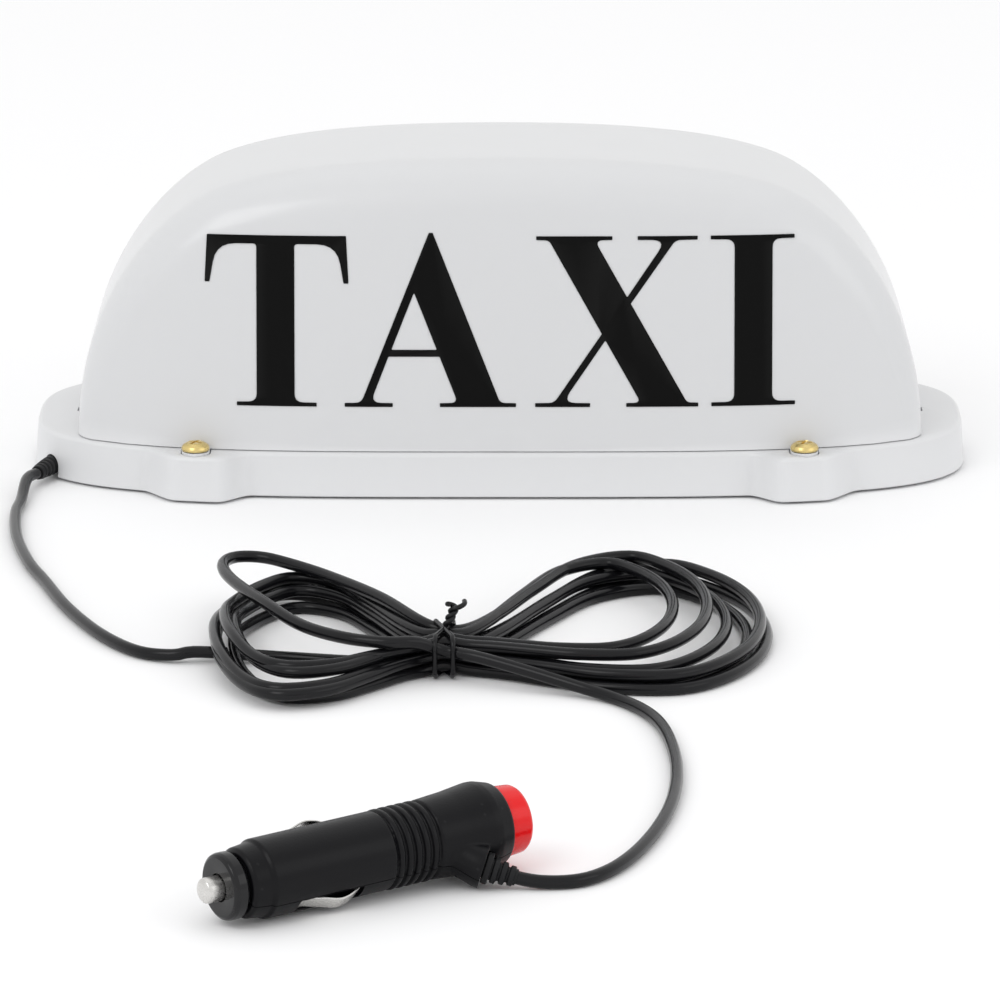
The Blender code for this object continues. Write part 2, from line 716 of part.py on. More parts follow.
def make_letters(finishes):
    edge = silhouette()
    for side, face in ((-1, "front"), (1, "back")):
        for letter, outlines, start in WORD:
            shape = flat_letter(outlines, start)
            for v in shape.verts:
                depth = face_depth(v.co.x, v.co.y - FOOT_Z, edge) + GAP
                depth += LETTER_THICKNESS if v.co.z > 0 else 0
                v.co = Vector((-side * v.co.x, side * depth, v.co.y))
            face_outwards(shape)
            add(f"letter_{letter}_{face}", shape, finishes["letters"])


# ---------------------------------------------------------------- screws, magnets, lamps


def cross_recess(width, length, depth, top):
    return [
        box((-length, -width, top - depth), (length, width, top + 1)),
        box((-width, -length, top - depth), (width, length, top + 1)),
    ]


def make_cover_screws(finishes):
    head = FOOT_Z + EAR_OVERLAP + GAP
    rise = SCREW_HEAD_HEIGHT
    profile = [(0, head - SCREW_LENGTH), (SCREW_SHANK_RADIUS - 0.4, head - SCREW_LENGTH)]
    profile += [(SCREW_SHANK_RADIUS, head - SCREW_LENGTH + 0.8), (SCREW_SHANK_RADIUS, head)]
    profile += [(SCREW_HEAD_RADIUS - 0.2, head), (SCREW_HEAD_RADIUS, head + 0.7)]
    for share in (0.88, 0.55):
        profile.append((SCREW_HEAD_RADIUS * share, head + 0.7 + (rise - 0.7) * math.sqrt(1 - share**2)))
    profile.append((0, head + rise))
    insert_top = FOOT_Z + EAR_OVERLAP - EAR_THICKNESS - 2 * GAP
    for name, place in zip(SCREW_NAMES, SCREW_PLACES):
        screw = add(f"cover_screw_{name}", lathe(profile, 16), finishes["zinc"], place=(*place, 0))
        slots = cross_recess(0.5, SCREW_HEAD_RADIUS * 0.62, 1.5, head + rise)
        for index, slot in enumerate(slots):
            tool = cutter(f"recess_{name}_{index}", slot)
            tool.location = screw.location
            combine(screw, tool, "DIFFERENCE")
        sleeve = tube_ring(INSERT_BORE, INSERT_RADIUS, insert_top - INSERT_LENGTH, insert_top, 12)
        add(f"insert_{name}", sleeve, finishes["brass"], place=(*place, 0))


def make_magnets(finishes):
    magnet_low = PAD_HEIGHT + GAP
    magnet_high = magnet_low + MAGNET_HEIGHT
    yoke_high = magnet_high + GAP + YOKE_WALL
    bore = MAGNET_RADIUS + GAP
    yoke = [(0, magnet_high + GAP), (bore, magnet_high + GAP), (bore, magnet_low)]
    yoke += [(bore + YOKE_WALL, magnet_low), (bore + YOKE_WALL, yoke_high - 0.8)]
    yoke += [(bore + YOKE_WALL - 0.8, yoke_high), (0, yoke_high)]
    pad = [(0, 0), (PAD_RADIUS - 0.4, 0), (PAD_RADIUS, 0.4), (PAD_RADIUS, PAD_HEIGHT), (0, PAD_HEIGHT)]
    for name, place in zip(SCREW_NAMES, MAGNET_PLACES):
        here = (*place, 0)
        add(f"magnet_pad_{name}", lathe(pad), finishes["rubber"], place=here)
        disc = cylinder(MAGNET_RADIUS, magnet_low, magnet_high)
        add(f"magnet_{name}", disc, finishes["ferrite"], place=here)
        add(f"magnet_yoke_{name}", lathe(yoke), finishes["steel"], place=here)


def make_lamps(finishes):
    top = BOARD_Z + BOARD_THICKNESS
    half = (BOARD_LENGTH / 2, BOARD_WIDTH / 2)
    board = add("lamp_board", box((-half[0], -half[1], BOARD_Z), (half[0], half[1], top)), finishes["board"])
    for side in (-1, 1):
        place = (side * STANDOFF_X, 0, 0)
        hole = cylinder(BOARD_SCREW_RADIUS + GAP, BOARD_Z - 1, top + 1, 10, place)
        combine(board, cutter(f"board_hole_{side + 1}", hole), "DIFFERENCE")
        head = top + GAP
        profile = [(0, head - BOARD_SCREW_LENGTH), (BOARD_SCREW_RADIUS, head - BOARD_SCREW_LENGTH)]
        profile += [(BOARD_SCREW_RADIUS, head), (BOARD_SCREW_HEAD, head), (BOARD_SCREW_HEAD, head + 0.7)]
        profile += [(BOARD_SCREW_HEAD * 0.6, head + 1.5), (0, head + 1.7)]
        name = "left" if side < 0 else "right"
        add(f"board_screw_{name}", lathe(profile, 12), finishes["zinc"], place=place)
    for index in range(LAMP_COUNT):
        x = (index - (LAMP_COUNT - 1) / 2) * LAMP_PITCH
        low, size = top + GAP, LAMP_SIZE / 2
        lens = loft([
            [(x - s, -s, z), (x + s, -s, z), (x + s, s, z), (x - s, s, z)]
            for s, z in ((size, low), (size, low + LAMP_HEIGHT - 0.6), (size - 0.8, low + LAMP_HEIGHT))
        ])
        add(f"lamp_{index + 1}", lens, finishes["lamp"])


# ---------------------------------------------------------------- lead


LEAD_ROUTE = [
    (-150.6, -66.0, 2.2), (-151.2, -82.0, CORD_FLOOR), (-148.6, -110.0, CORD_FLOOR),
    (-143.0, -138.0, CORD_FLOOR), (-136.7, -159.0, CORD_FLOOR), (-128.0, -188.0, CORD_FLOOR),
    (-116.5, -216.0, CORD_FLOOR), (-105.0, -233.5, CORD_FLOOR), (-94.5, -239.0, CORD_FLOOR + 0.4),
    (-86.6, -238.5, CORD_FLOOR + 1.2),
]
TAIL_ROUTE = [
    (41.5, -295.0, CORD_FLOOR), (44.5, -305.0, CORD_FLOOR), (47.2, -325.0, CORD_FLOOR),
    (48.0, -348.5, CORD_FLOOR), (46.0, -374.0, CORD_FLOOR), (41.0, -395.0, CORD_FLOOR),
    (34.5, -412.0, CORD_FLOOR),
]
HANK_OUTLINE = [
    (-83.5, -237), (-83, -262), (-73, -286), (-52, -289), (-32, -275), (WAIST_X, WAIST_Y - 13),
    (0, -264), (25, -271), (46, -277), (62, -273), (76, -258), (80, -230), (76, -190), (64, -160),
    (42, -150), (20, -160), (0, -208), (WAIST_X, WAIST_Y + 13), (-34, -203), (-52, -175),
    (-70, -170), (-82, -195),
]


def make_lead(finishes):
    nose = [(0, -GROMMET_TAIL), (GROMMET_FLANGE, -GROMMET_TAIL), (GROMMET_FLANGE, 3.4 - GROMMET_TAIL)]
    nose += [(GROMMET_RADIUS, 3.4 - GROMMET_TAIL)]
    nose += [(GROMMET_RADIUS, 3.0), (CORD_RADIUS + 0.5, GROMMET_NOSE), (0, GROMMET_NOSE)]
    frame = exit_frame()
    grommet = lathe(nose, 20)
    grommet.transform(frame)
    add("cord_grommet", grommet, finishes["rubber"])

    start = along_exit(GROMMET_NOSE + GAP)
    lead = [start, along_exit(GROMMET_NOSE + 8)] + [Vector(p) for p in LEAD_ROUTE]
    tube("cord_lead", smooth_route(lead, 7.5), CORD_RADIUS, finishes["wire_black"])

    inner = [along_exit(-GROMMET_TAIL - GAP), along_exit(-GROMMET_TAIL - 5)]
    inner += [Vector((-128, -6, 4.6)), Vector((-117, -1.5, 6.2))]
    inner += [Vector((WIRE_HOLE_X, 0, 10.5)), Vector((WIRE_HOLE_X, 0, WIRE_SPLIT_Z))]
    tube("cord_inner", smooth_route(inner, 6.0), CORD_RADIUS, finishes["wire_black"])
    board_end = -BOARD_LENGTH / 2
    for name, y in (("red", -1.0), ("black", 1.0)):
        wire = [(WIRE_HOLE_X, y, WIRE_SPLIT_Z + GAP), (WIRE_HOLE_X, y, 20), (WIRE_HOLE_X + 5, 2 * y, 23.5)]
        wire += [(board_end + 1, 3.5 * y, 24.0), (board_end + 5, 4 * y, 22.5), (board_end + 6, 4 * y, 22.0)]
        tube(f"board_wire_{name}", smooth_route(wire, 3.5), WIRE_RADIUS, finishes[f"wire_{name}"])

    outline = smooth_route([(x, y, 0) for x, y in HANK_OUTLINE], 11.0, closed=True)
    loops = []
    for z, inset in ((0.2, 2.0), (2.2, 0.0), (HANK_HEIGHT - 3, 0.0), (HANK_HEIGHT, 3.0)):
        loops.append([toward_middle(p, inset, z) for p in outline])
    hank = add("cord_hank", loft(loops), finishes["wire_black"])
    core = (WAIST_HALF_WIDTH, TIE_THICKNESS + 0.6, WAIST_HEIGHT - TIE_THICKNESS - GAP)
    combine(hank, cutter("tie_room", band(TIE_WIDTH + 2 * GAP, *core, 8)), "DIFFERENCE")
    sleeve = (core[0] + GAP, core[1] - GAP, core[2] + GAP)
    add("hank_tie", band(TIE_WIDTH, *sleeve, TIE_THICKNESS), finishes["wire_black"])

    tail = [Vector(p) for p in TAIL_ROUTE]
    tail += [relief_point(20, CORD_FLOOR), relief_point(9, CORD_FLOOR + 0.15), relief_point(GAP)]
    tube("cord_tail", smooth_route(tail, 7.5), CORD_RADIUS, finishes["wire_black"])


def toward_middle(point, inset, z):
    """A hank outline point moved towards the middle of its own half of the bow."""
    middle = Vector((-58 if point.x < WAIST_X else 48, WAIST_Y, 0))
    moved = point + (middle - point).normalized() * inset
    return (moved.x, moved.y, z)


def band(width, half_depth_y, low, high, thickness):
    """Closed strap round the hank's waist, across the lead's run."""
    def section(x, grow):
        corner = 2.0 + grow
        reach = half_depth_y + grow
        bottom, top = low - grow, high + grow
        turns = [
            (-reach + corner, bottom), (reach - corner, bottom), (reach, bottom + corner),
            (reach, top - corner), (reach - corner, top), (-reach + corner, top),
            (-reach, top - corner), (-reach, bottom + corner),
        ]
        return [(x, WAIST_Y + y, z) for y, z in turns]
    near, far = WAIST_X - width / 2, WAIST_X + width / 2
    loops = [section(near, 0), section(near, thickness), section(far, thickness), section(far, 0)]
    return loft(loops, closed=True)


# ---------------------------------------------------------------- plug


def plug_matrix():
    """Plug frame in millimetres: +X from tip to switch, -Z towards the lead's branch."""
    incline = math.asin((FLARE_RADIUS - SHELL_RADIUS) / (FLARE_AT - SHELL_STEP))
    level = Vector((math.cos(PLUG_HEADING), math.sin(PLUG_HEADING), 0))
    along = level * math.cos(incline) + Vector((0, 0, math.sin(incline)))
    outward = Vector((math.sin(PLUG_HEADING), -math.cos(PLUG_HEADING), 0))
    upward = outward.cross(along)
    branch = outward * math.cos(PLUG_ROLL) - upward * math.sin(PLUG_ROLL)
    across = (-branch).cross(along)
    turn = Matrix((along, across, -branch)).transposed().to_4x4()
    height = SHELL_RADIUS * math.cos(incline) + 0.2 - SHELL_STEP * math.sin(incline)
    return Matrix.Translation((PLUG_TIP.x, PLUG_TIP.y, height)) @ turn


def branch_tangent():
    return Vector((math.cos(BRANCH_TILT), 0, -math.sin(BRANCH_TILT)))


def branch_point(reach):
    """Place on the branch's axis, reach beyond its mouth, in the plug's frame."""
    return Vector((BRANCH_END, 0, -BRANCH_REACH)) + branch_tangent() * reach


def relief_point(reach, height=None):
    """Place on the lead, reach beyond the relief's end; height lets it level out on the surface."""
    place = plug_matrix() @ branch_point(RELIEF_LENGTH + reach)
    if height is not None:
        place.z = height
    return place


def lathe_ring(profile, segments=20):
    """Body turned about X from a closed (place, radius) outline that stays off the axis."""
    loops = []
    for along, radius in profile:
        turns = [polar(radius, i / segments, along) for i in range(segments)]
        loops.append([(z, x, y) for x, y, z in turns])
    return loft(loops, closed=True)


def rib_profile():
    """Finger ribs between grooves, as (place, radius)."""
    points = []
    for index in range(RIB_COUNT):
        start = RIB_START + index * RIB_PITCH
        points += [(start, SHELL_RADIUS - RIB_DEPTH), (start + RIB_PITCH * 0.3, SHELL_RADIUS + 0.2)]
        points += [(start + RIB_PITCH * 0.75, SHELL_RADIUS + 0.2)]
    end = RIB_START + RIB_COUNT * RIB_PITCH
    return points + [(end, SHELL_RADIUS - RIB_DEPTH)]


def shell_profile():
    """Outside of the shells from the ring end to the switch end, as (radius, place)."""
    outside = [(SHELL_START, 0), (SHELL_START, SHELL_BORE + 1), (SHELL_START + 0.8, SHELL_RADIUS - 1.2)]
    outside += [(SHELL_STEP - 0.6, SHELL_RADIUS - 0.7), (SHELL_STEP, SHELL_RADIUS)]
    outside += [(RIB_START - 0.6, SHELL_RADIUS), *rib_profile()]
    outside += [(RIB_START + RIB_COUNT * RIB_PITCH + 0.6, SHELL_RADIUS)]
    outside += [(FLARE_AT - 8, FLARE_RADIUS - 0.9), (FLARE_AT - 0.8, FLARE_RADIUS)]
    outside += [(FLARE_AT + 0.8, FLARE_RADIUS - 0.1), (COLLAR_END, COLLAR_RADIUS), (COLLAR_END, 0)]
    return [(radius, place) for place, radius in outside]


def branch_body():
    """Curved arm from the shell to the mouth that the lead enters."""
    tangent = branch_tangent()
    mouth = branch_point(0)
    start = Vector((BRANCH_START, 0, -SHELL_RADIUS + BRANCH_RADIUS + 0.6))
    loops = []
    for step in range(6):
        t = step / 5
        reach = (mouth - start).length * 0.4
        middle = bezier(start, start + Vector((reach, 0, 0)), mouth - tangent * reach, mouth, t)
        ahead = Vector((1, 0, 0)).lerp(tangent, t).normalized()
        up = ahead.cross(Vector((0, 1, 0)))
        radius = BRANCH_RADIUS + 0.8 * t
        turns = [2 * math.pi * (i + 0.5) / 14 for i in range(14)]
        loops.append([middle + (up * math.cos(a) + Vector((0, 1, 0)) * math.sin(a)) * radius for a in turns])
    return loft(loops)


def contact_frame(side):
    """Hinge end of a side contact: +X along the plug, +Z outwards."""
    turned = Matrix.Rotation(CONTACT_ROLL + (math.pi if side > 0 else 0), 4, "X")
    outward = turned @ Vector((0, 0, -1))
    across = outward.cross(Vector((1, 0, 0)))
    turn = Matrix((Vector((1, 0, 0)), across, outward)).transposed().to_4x4()
    return Matrix.Translation(Vector((CONTACT_AT, 0, 0)) + outward * SHELL_RADIUS) @ turn


def contact_leaf():
    """Bowed spring leaf: it leaves its slot, bulges out and bends back."""
    outline = [(0, -0.9), (2.2, -0.7), (CONTACT_LENGTH * 0.35, 0.3), (CONTACT_LENGTH * 0.6, CONTACT_BULGE)]
    outline += [(CONTACT_LENGTH * 0.8, CONTACT_BULGE * 0.7), (CONTACT_LENGTH, -0.5)]
    loops = []
    for x, z in outline:
        half = CONTACT_WIDTH / 2
        low = z - CONTACT_THICKNESS
        loops.append([(x, -half, low), (x, half, low), (x, half, z), (x, -half, z)])
    return loft(loops)


def contact_slot():
    half = CONTACT_WIDTH / 2 + GAP
    floor = -SHELL_RADIUS + SHELL_BORE + 0.7
    return box((-1.2, -half, floor), (CONTACT_LENGTH + 1.2, half, CONTACT_BULGE + 2))


def make_shells(finishes, parent):
    """Two half shells that meet at the plane of the lead's branch."""
    slots = []
    for side in (-1, 1):
        slot = contact_slot()
        slot.transform(contact_frame(side))
        slots.append(slot)
    mouth = socket(RELIEF_PLUG_RADIUS + GAP, -5.0, 2.0)
    pocket = socket(RELIEF_COLLAR_RADIUS + GAP, -0.15, 7.0)
    slot_tool = cutter("contact_slots", join(slots), parent)
    mouth_tool = cutter("lead_socket", mouth, parent)
    pocket_tool = cutter("relief_pocket", pocket, parent)
    arm_tool = cutter("branch_arm", branch_body(), parent)
    well_floor = WELL_STEP - SWITCH_LENGTH - GAP
    bore = [(0, SHELL_START - 1), (SHELL_BORE, SHELL_START - 1), (SHELL_BORE, SHELL_BORE_END)]
    bore += [(WIRE_WAY, SHELL_BORE_END), (WIRE_WAY, well_floor + 1), (0, well_floor + 1)]
    bore_tool = cutter("bore", turn_x(lathe(bore, 16)), parent)
    well = [(0, well_floor), (SWITCH_RADIUS + GAP, well_floor)]
    well += [(SWITCH_RADIUS + GAP, WELL_STEP), (BUTTON_RADIUS + 0.4, WELL_STEP)]
    well += [(BUTTON_RADIUS + 0.4, COLLAR_END + 9), (0, COLLAR_END + 9)]
    well_tool = cutter("switch_well", turn_x(lathe(well)), parent)
    for name, side in (("plug_shell_lower", -1), ("plug_shell_upper", 1)):
        shell = add(name, turn_x(lathe(shell_profile(), 24)), finishes["shell"], parent)
        combine(shell, arm_tool, "UNION")
        for tool in (bore_tool, well_tool, mouth_tool, pocket_tool, slot_tool):
            combine(shell, tool, "DIFFERENCE")
        low, high = sorted((side * SEAM_GAP / 2, -side * 40))
        half = cutter(f"{name}_side", box((-5, low, -40), (120, high, 40)), parent)
        combine(shell, half, "DIFFERENCE")


def socket(radius, start, end):
    """Round hole along the branch's axis, between two reaches beyond its mouth."""
    hole = cylinder(radius, start, end, 12)
    hole.transform(branch_turn())
    return hole


def branch_turn():
    """From a shape on +Z to the branch's axis, with its start at the mouth."""
    turn = branch_tangent().to_track_quat("Z", "Y").to_matrix().to_4x4()
    return Matrix.Translation(branch_point(0)) @ turn


def make_plug(finishes):
    frame = bpy.data.objects.new("plug_frame", None)
    bpy.context.scene.collection.objects.link(frame)
    placed = plug_matrix()
    placed.translation *= MM
    frame.matrix_world = placed
    make_shells(finishes, frame)

    ring_front = TIP_STICKOUT
    ring_back = ring_front + RING_LENGTH
    hole = TIP_RADIUS + GAP
    room = TIP_FLANGE_RADIUS + GAP
    ring = [(ring_front, hole), (ring_front, RING_RADIUS - 0.7), (ring_front + 0.7, RING_RADIUS)]
    ring += [(ring_back - 0.6, RING_RADIUS), (ring_back, RING_RADIUS - 0.5), (ring_back, RING_NECK_RADIUS)]
    neck_end = ring_back + RING_NECK_LENGTH
    lip = ring_front + RING_LIP
    ring += [(neck_end, RING_NECK_RADIUS), (neck_end, room), (lip, room), (lip, hole)]
    add("plug_ring", lathe_ring(ring), finishes["shell"], frame)

    flange = lip + GAP
    tail_end = flange + 5.0
    tip = [(0, 0), (TIP_RADIUS - 0.5, 0), (TIP_RADIUS, 0.5), (TIP_RADIUS, flange)]
    tip += [(TIP_FLANGE_RADIUS, flange), (TIP_FLANGE_RADIUS, flange + 1.4), (2.3, flange + 1.4)]
    tip += [(2.3, tail_end), (0, tail_end)]
    add("tip_contact", turn_x(lathe(tip)), finishes["nickel"], frame)

    fuse_start = tail_end + GAP
    fuse_end = fuse_start + FUSE_LENGTH
    fuse = [(0, fuse_start), (FUSE_RADIUS, fuse_start), (FUSE_RADIUS, fuse_start + 5)]
    fuse += [(FUSE_RADIUS - 0.3, fuse_start + 5), (FUSE_RADIUS - 0.3, fuse_end - 5)]
    fuse += [(FUSE_RADIUS, fuse_end - 5), (FUSE_RADIUS, fuse_end), (0, fuse_end)]
    add("fuse", turn_x(lathe(fuse, 16)), finishes["glass"], frame)

    spring_start = fuse_end + SPRING_WIRE + GAP
    spring_end = SHELL_BORE_END - SPRING_WIRE - GAP
    coil = []
    steps = SPRING_TURNS * 9
    for i in range(steps + 1):
        y, z, _ = polar(SPRING_RADIUS, i / 9, 0)
        coil.append(Vector((spring_start + (spring_end - spring_start) * i / steps, y, z)))
    spring = tube("tip_spring", coil, SPRING_WIRE, finishes["steel"], frame)
    spring.data.bevel_resolution = 0

    for name, side in (("front", -1), ("back", 1)):
        leaf = add(f"side_contact_{name}", contact_leaf(), finishes["nickel"], frame)
        placed = contact_frame(side)
        placed.translation *= MM
        leaf.matrix_local = placed

    button_low = COLLAR_END - 1.2
    face = COLLAR_END + BUTTON_STANDOUT
    stem_end = WELL_STEP - 4.0
    button = [(0, stem_end), (BUTTON_STEM, stem_end), (BUTTON_STEM, button_low), (BUTTON_RADIUS, button_low)]
    button += [(BUTTON_FACE_RADIUS + 0.1, face - 0.8), (BUTTON_FACE_RADIUS - 0.6, face)]
    button += [(BUTTON_FACE_RADIUS - 1.4, face - 0.5), (0, face - 0.8)]
    add("switch_button", turn_x(lathe(button, 24)), finishes["red"], frame)
    body_low = WELL_STEP - SWITCH_LENGTH
    hollow = BUTTON_STEM + 0.4
    deep = stem_end - BUTTON_TRAVEL - 0.8
    switch = [(0, body_low), (SWITCH_RADIUS, body_low), (SWITCH_RADIUS, WELL_STEP - GAP)]
    switch += [(hollow, WELL_STEP - GAP), (hollow, deep), (0, deep)]
    add("switch_body", turn_x(lathe(switch)), finishes["wire_black"], frame)

    relief = [(0, -4.6), (RELIEF_PLUG_RADIUS, -4.6), (RELIEF_PLUG_RADIUS, GAP)]
    relief += [(RELIEF_COLLAR_RADIUS, GAP), (RELIEF_COLLAR_RADIUS, 1.8)]
    for step in range(3):
        start = 1.8 + step * 2.2
        radius = 3.4 - step * 0.35
        relief += [(radius - 0.5, start + 0.5), (radius, start + 0.7), (radius, start + 2.0)]
    relief += [(CORD_RADIUS + 0.35, 8.4), (CORD_RADIUS + 0.35, RELIEF_LENGTH), (0, RELIEF_LENGTH)]
    shape = lathe(relief, 14)
    shape.transform(branch_turn())
    add("plug_relief", shape, finishes["rubber"], frame)


def main():
    clear_scene()
    finishes = make_finishes()
    make_base(finishes)
    make_dome(finishes)
    make_seal(finishes)
    make_letters(finishes)
    make_cover_screws(finishes)
    make_magnets(finishes)
    make_lamps(finishes)
    make_lead(finishes)
    make_plug(finishes)


main()
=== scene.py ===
"""Looks of a magnetic taxi roof sign: opal dome, white base, tied black lead and 12 V plug.

Sizes are in millimetres until a piece is placed, and metres in the finished meshes. The plug's
pieces are made in the plug's own frame: +X from tip to switch, -Z towards the lead's branch.
"""

import json
import math

import bmesh
import bpy
from mathutils import Matrix, Vector


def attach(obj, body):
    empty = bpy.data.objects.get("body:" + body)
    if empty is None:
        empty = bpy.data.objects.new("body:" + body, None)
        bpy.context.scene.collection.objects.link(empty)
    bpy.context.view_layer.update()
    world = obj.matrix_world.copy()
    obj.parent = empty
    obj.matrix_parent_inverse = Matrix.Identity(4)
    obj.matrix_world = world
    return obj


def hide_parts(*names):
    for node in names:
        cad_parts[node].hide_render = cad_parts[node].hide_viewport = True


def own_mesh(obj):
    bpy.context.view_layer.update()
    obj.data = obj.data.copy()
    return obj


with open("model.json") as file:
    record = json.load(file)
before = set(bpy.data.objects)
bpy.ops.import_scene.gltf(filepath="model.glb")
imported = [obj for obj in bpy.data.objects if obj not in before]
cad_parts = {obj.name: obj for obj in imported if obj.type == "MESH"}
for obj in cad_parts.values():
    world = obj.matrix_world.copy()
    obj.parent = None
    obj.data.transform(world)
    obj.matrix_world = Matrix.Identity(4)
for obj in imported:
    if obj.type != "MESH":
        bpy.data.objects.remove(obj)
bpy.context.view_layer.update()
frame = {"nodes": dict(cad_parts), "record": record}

MM = 0.001
SMALL = Matrix.Scale(MM, 4)
ROOT = "sign"

# Base and dome, as in the frame
HALF_LENGTH = 150.0
HALF_DEPTH = 58.0
PLAN_POWER_X = 3.6
PLAN_POWER_Y = 3.0
BASE_TOP = 15.0
SKIRT_LOW = 0.8
SKIRT_WALL = 2.5
SKIRT_DRAFT = 0.9
DECK_THICKNESS = 3.0
TOP_ROUND = 1.6
LOBE_X = 96.0
LOBE_HALF_FLAT = 6.5
LOBE_RAMP = 12.0
LOBE_MARGIN = 6.5
DOME_HALF_LENGTH = 134.5
DOME_HEIGHT = 88.7
DOME_FOOT = 15.3
DOME_WALL = 2.4
DOME_LEDGE = 2.0
FACE_LEAN = math.radians(10)
EDGE_ROUND = (5.0, 14.0)
SHOULDER = Vector((90.0, 78.8))
SHOULDER_SLOPE = 0.41
HANDLES = (42.3, 20.3, 18.9, 40.7)
SCREW_HEAD = 4.5
EAR_RADIUS = 4.4
EAR_TOP = 15.8
EAR_THICKNESS = 2.1

# Letters
LETTER_LOW = 29.2
LETTER_HEIGHT = 53.0
LETTER_UNIT = 55.6
FILM_LIFT = 0.06
FILM = 0.16

# Lead
CORD = 3.6
FLOOR = 1.9
WAIST = Vector((-16.0, -247.0))


# ---------------------------------------------------------------- shader groups


def wire(tree, made, values):
    """Give a node's inputs their values or links, by name or by number."""
    for key, value in values.items():
        socket = made.inputs[key]
        if isinstance(value, bpy.types.NodeSocket):
            tree.links.new(value, socket)
        else:
            socket.default_value = value
    return made


def put(tree, kind, values=None, **settings):
    made = tree.nodes.new(kind)
    for key, value in settings.items():
        setattr(made, key, value)
    return wire(tree, made, values or {})


def maths(tree, operation, a, b=None):
    made = put(tree, "ShaderNodeMath", operation=operation)
    wire(tree, made, {0: a} if b is None else {0: a, 1: b})
    return made.outputs[0]


def group(name, inputs, outputs):
    """Empty shader group with named sockets; gives back the tree, its inputs and its output node."""
    tree = bpy.data.node_groups.new(name, "ShaderNodeTree")
    kinds = {"value": "NodeSocketFloat", "colour": "NodeSocketColor"}
    for label, kind in inputs:
        tree.interface.new_socket(label, in_out="INPUT", socket_type=kinds[kind])
    for label, kind in outputs:
        tree.interface.new_socket(label, in_out="OUTPUT", socket_type=kinds[kind])
    return tree, tree.nodes.new("NodeGroupInput").outputs, tree.nodes.new("NodeGroupOutput")


def grain_group():
    """Fine moulded skin: height for a bump, and a roughness that wanders round its middle."""
    inputs = [("Scale", "value"), ("Roughness", "value"), ("Spread", "value")]
    tree, given, out = group("moulded_grain", inputs, [("Height", "value"), ("Roughness", "value")])
    place = put(tree, "ShaderNodeTexCoord").outputs["Object"]
    fine = put(tree, "ShaderNodeTexNoise", {"Vector": place, "Scale": given["Scale"], "Detail": 3.0})
    broad = put(tree, "ShaderNodeTexNoise", {"Vector": place, "Scale": 35.0, "Detail": 4.0})
    centred = maths(tree, "SUBTRACT", broad.outputs["Fac"], 0.5)
    spread = maths(tree, "MULTIPLY", centred, given["Spread"])
    rough = maths(tree, "ADD", given["Roughness"], spread)
    wire(tree, out, {"Height": fine.outputs["Fac"], "Roughness": rough})
    return tree


def dust_group():
    """Pale dust that has settled unevenly where the surface faces up."""
    inputs = [("Colour", "colour"), ("Dust", "colour"), ("Amount", "value")]
    tree, given, out = group("settled_dust", inputs, [("Colour", "colour")])
    normal = put(tree, "ShaderNodeNewGeometry").outputs["Normal"]
    upward = put(tree, "ShaderNodeSeparateXYZ", {0: normal}).outputs["Z"]
    facing = put(tree, "ShaderNodeMapRange", {"Value": upward, "From Min": 0.2, "From Max": 1.0})
    place = put(tree, "ShaderNodeTexCoord").outputs["Object"]
    cloud = put(tree, "ShaderNodeTexNoise", {"Vector": place, "Scale": 60.0, "Detail": 6.0})
    patchy = put(
        tree, "ShaderNodeMapRange", {"Value": cloud.outputs["Fac"], "From Min": 0.35, "From Max": 0.7}
    )
    both = maths(tree, "MULTIPLY", facing.outputs["Result"], patchy.outputs["Result"])
    share = maths(tree, "MULTIPLY", both, given["Amount"])
    mixed = put(tree, "ShaderNodeMix", data_type="RGBA")
    wire(tree, mixed, {0: share, 6: given["Colour"], 7: given["Dust"]})
    wire(tree, out, {"Colour": mixed.outputs[2]})
    return tree


def edge_wear_and_highlight_group():
    """Convex edges turned to a second, lighter colour: partly rubbed wear, partly a painted highlight along
    the edges.
    """
    inputs = [("Colour", "colour"), ("Worn and highlit", "colour"), ("Amount", "value")]
    tree, given, out = group("worn_and_highlit_edges", inputs, [("Colour", "colour")])
    sharp = put(tree, "ShaderNodeNewGeometry").outputs["Pointiness"]
    edge = put(tree, "ShaderNodeMapRange", {"Value": sharp, "From Min": 0.52, "From Max": 0.6})
    share = maths(tree, "MULTIPLY", edge.outputs["Result"], given["Amount"])
    mixed = put(tree, "ShaderNodeMix", data_type="RGBA")
    wire(tree, mixed, {0: share, 6: given["Colour"], 7: given["Worn and highlit"]})
    wire(tree, out, {"Colour": mixed.outputs[2]})
    return tree


def brushed_group():
    """Fine drawn lines along X and round marks from tumbling, for metal."""
    inputs = [("Scale", "value"), ("Roughness", "value"), ("Spread", "value")]
    tree, given, out = group("worked_metal", inputs, [("Height", "value"), ("Roughness", "value")])
    place = put(tree, "ShaderNodeTexCoord").outputs["Object"]
    drawn = put(tree, "ShaderNodeMapping", {"Vector": place, "Scale": (0.15, 1.0, 1.0)})
    lines = put(
        tree, "ShaderNodeTexNoise", {"Vector": drawn.outputs[0], "Scale": given["Scale"], "Detail": 4.0}
    )
    marks = put(tree, "ShaderNodeTexVoronoi", {"Vector": place, "Scale": 900.0})
    both = maths(tree, "MULTIPLY", lines.outputs["Fac"], marks.outputs["Distance"])
    centred = maths(tree, "SUBTRACT", lines.outputs["Fac"], 0.5)
    spread = maths(tree, "MULTIPLY", centred, given["Spread"])
    rough = maths(tree, "ADD", given["Roughness"], spread)
    wire(tree, out, {"Height": both, "Roughness": rough})
    return tree


GRAIN = grain_group()
DUST = dust_group()
EDGE_WEAR_AND_HIGHLIGHT = edge_wear_and_highlight_group()
METAL = brushed_group()
PALE_DUST = (0.55, 0.53, 0.5, 1)


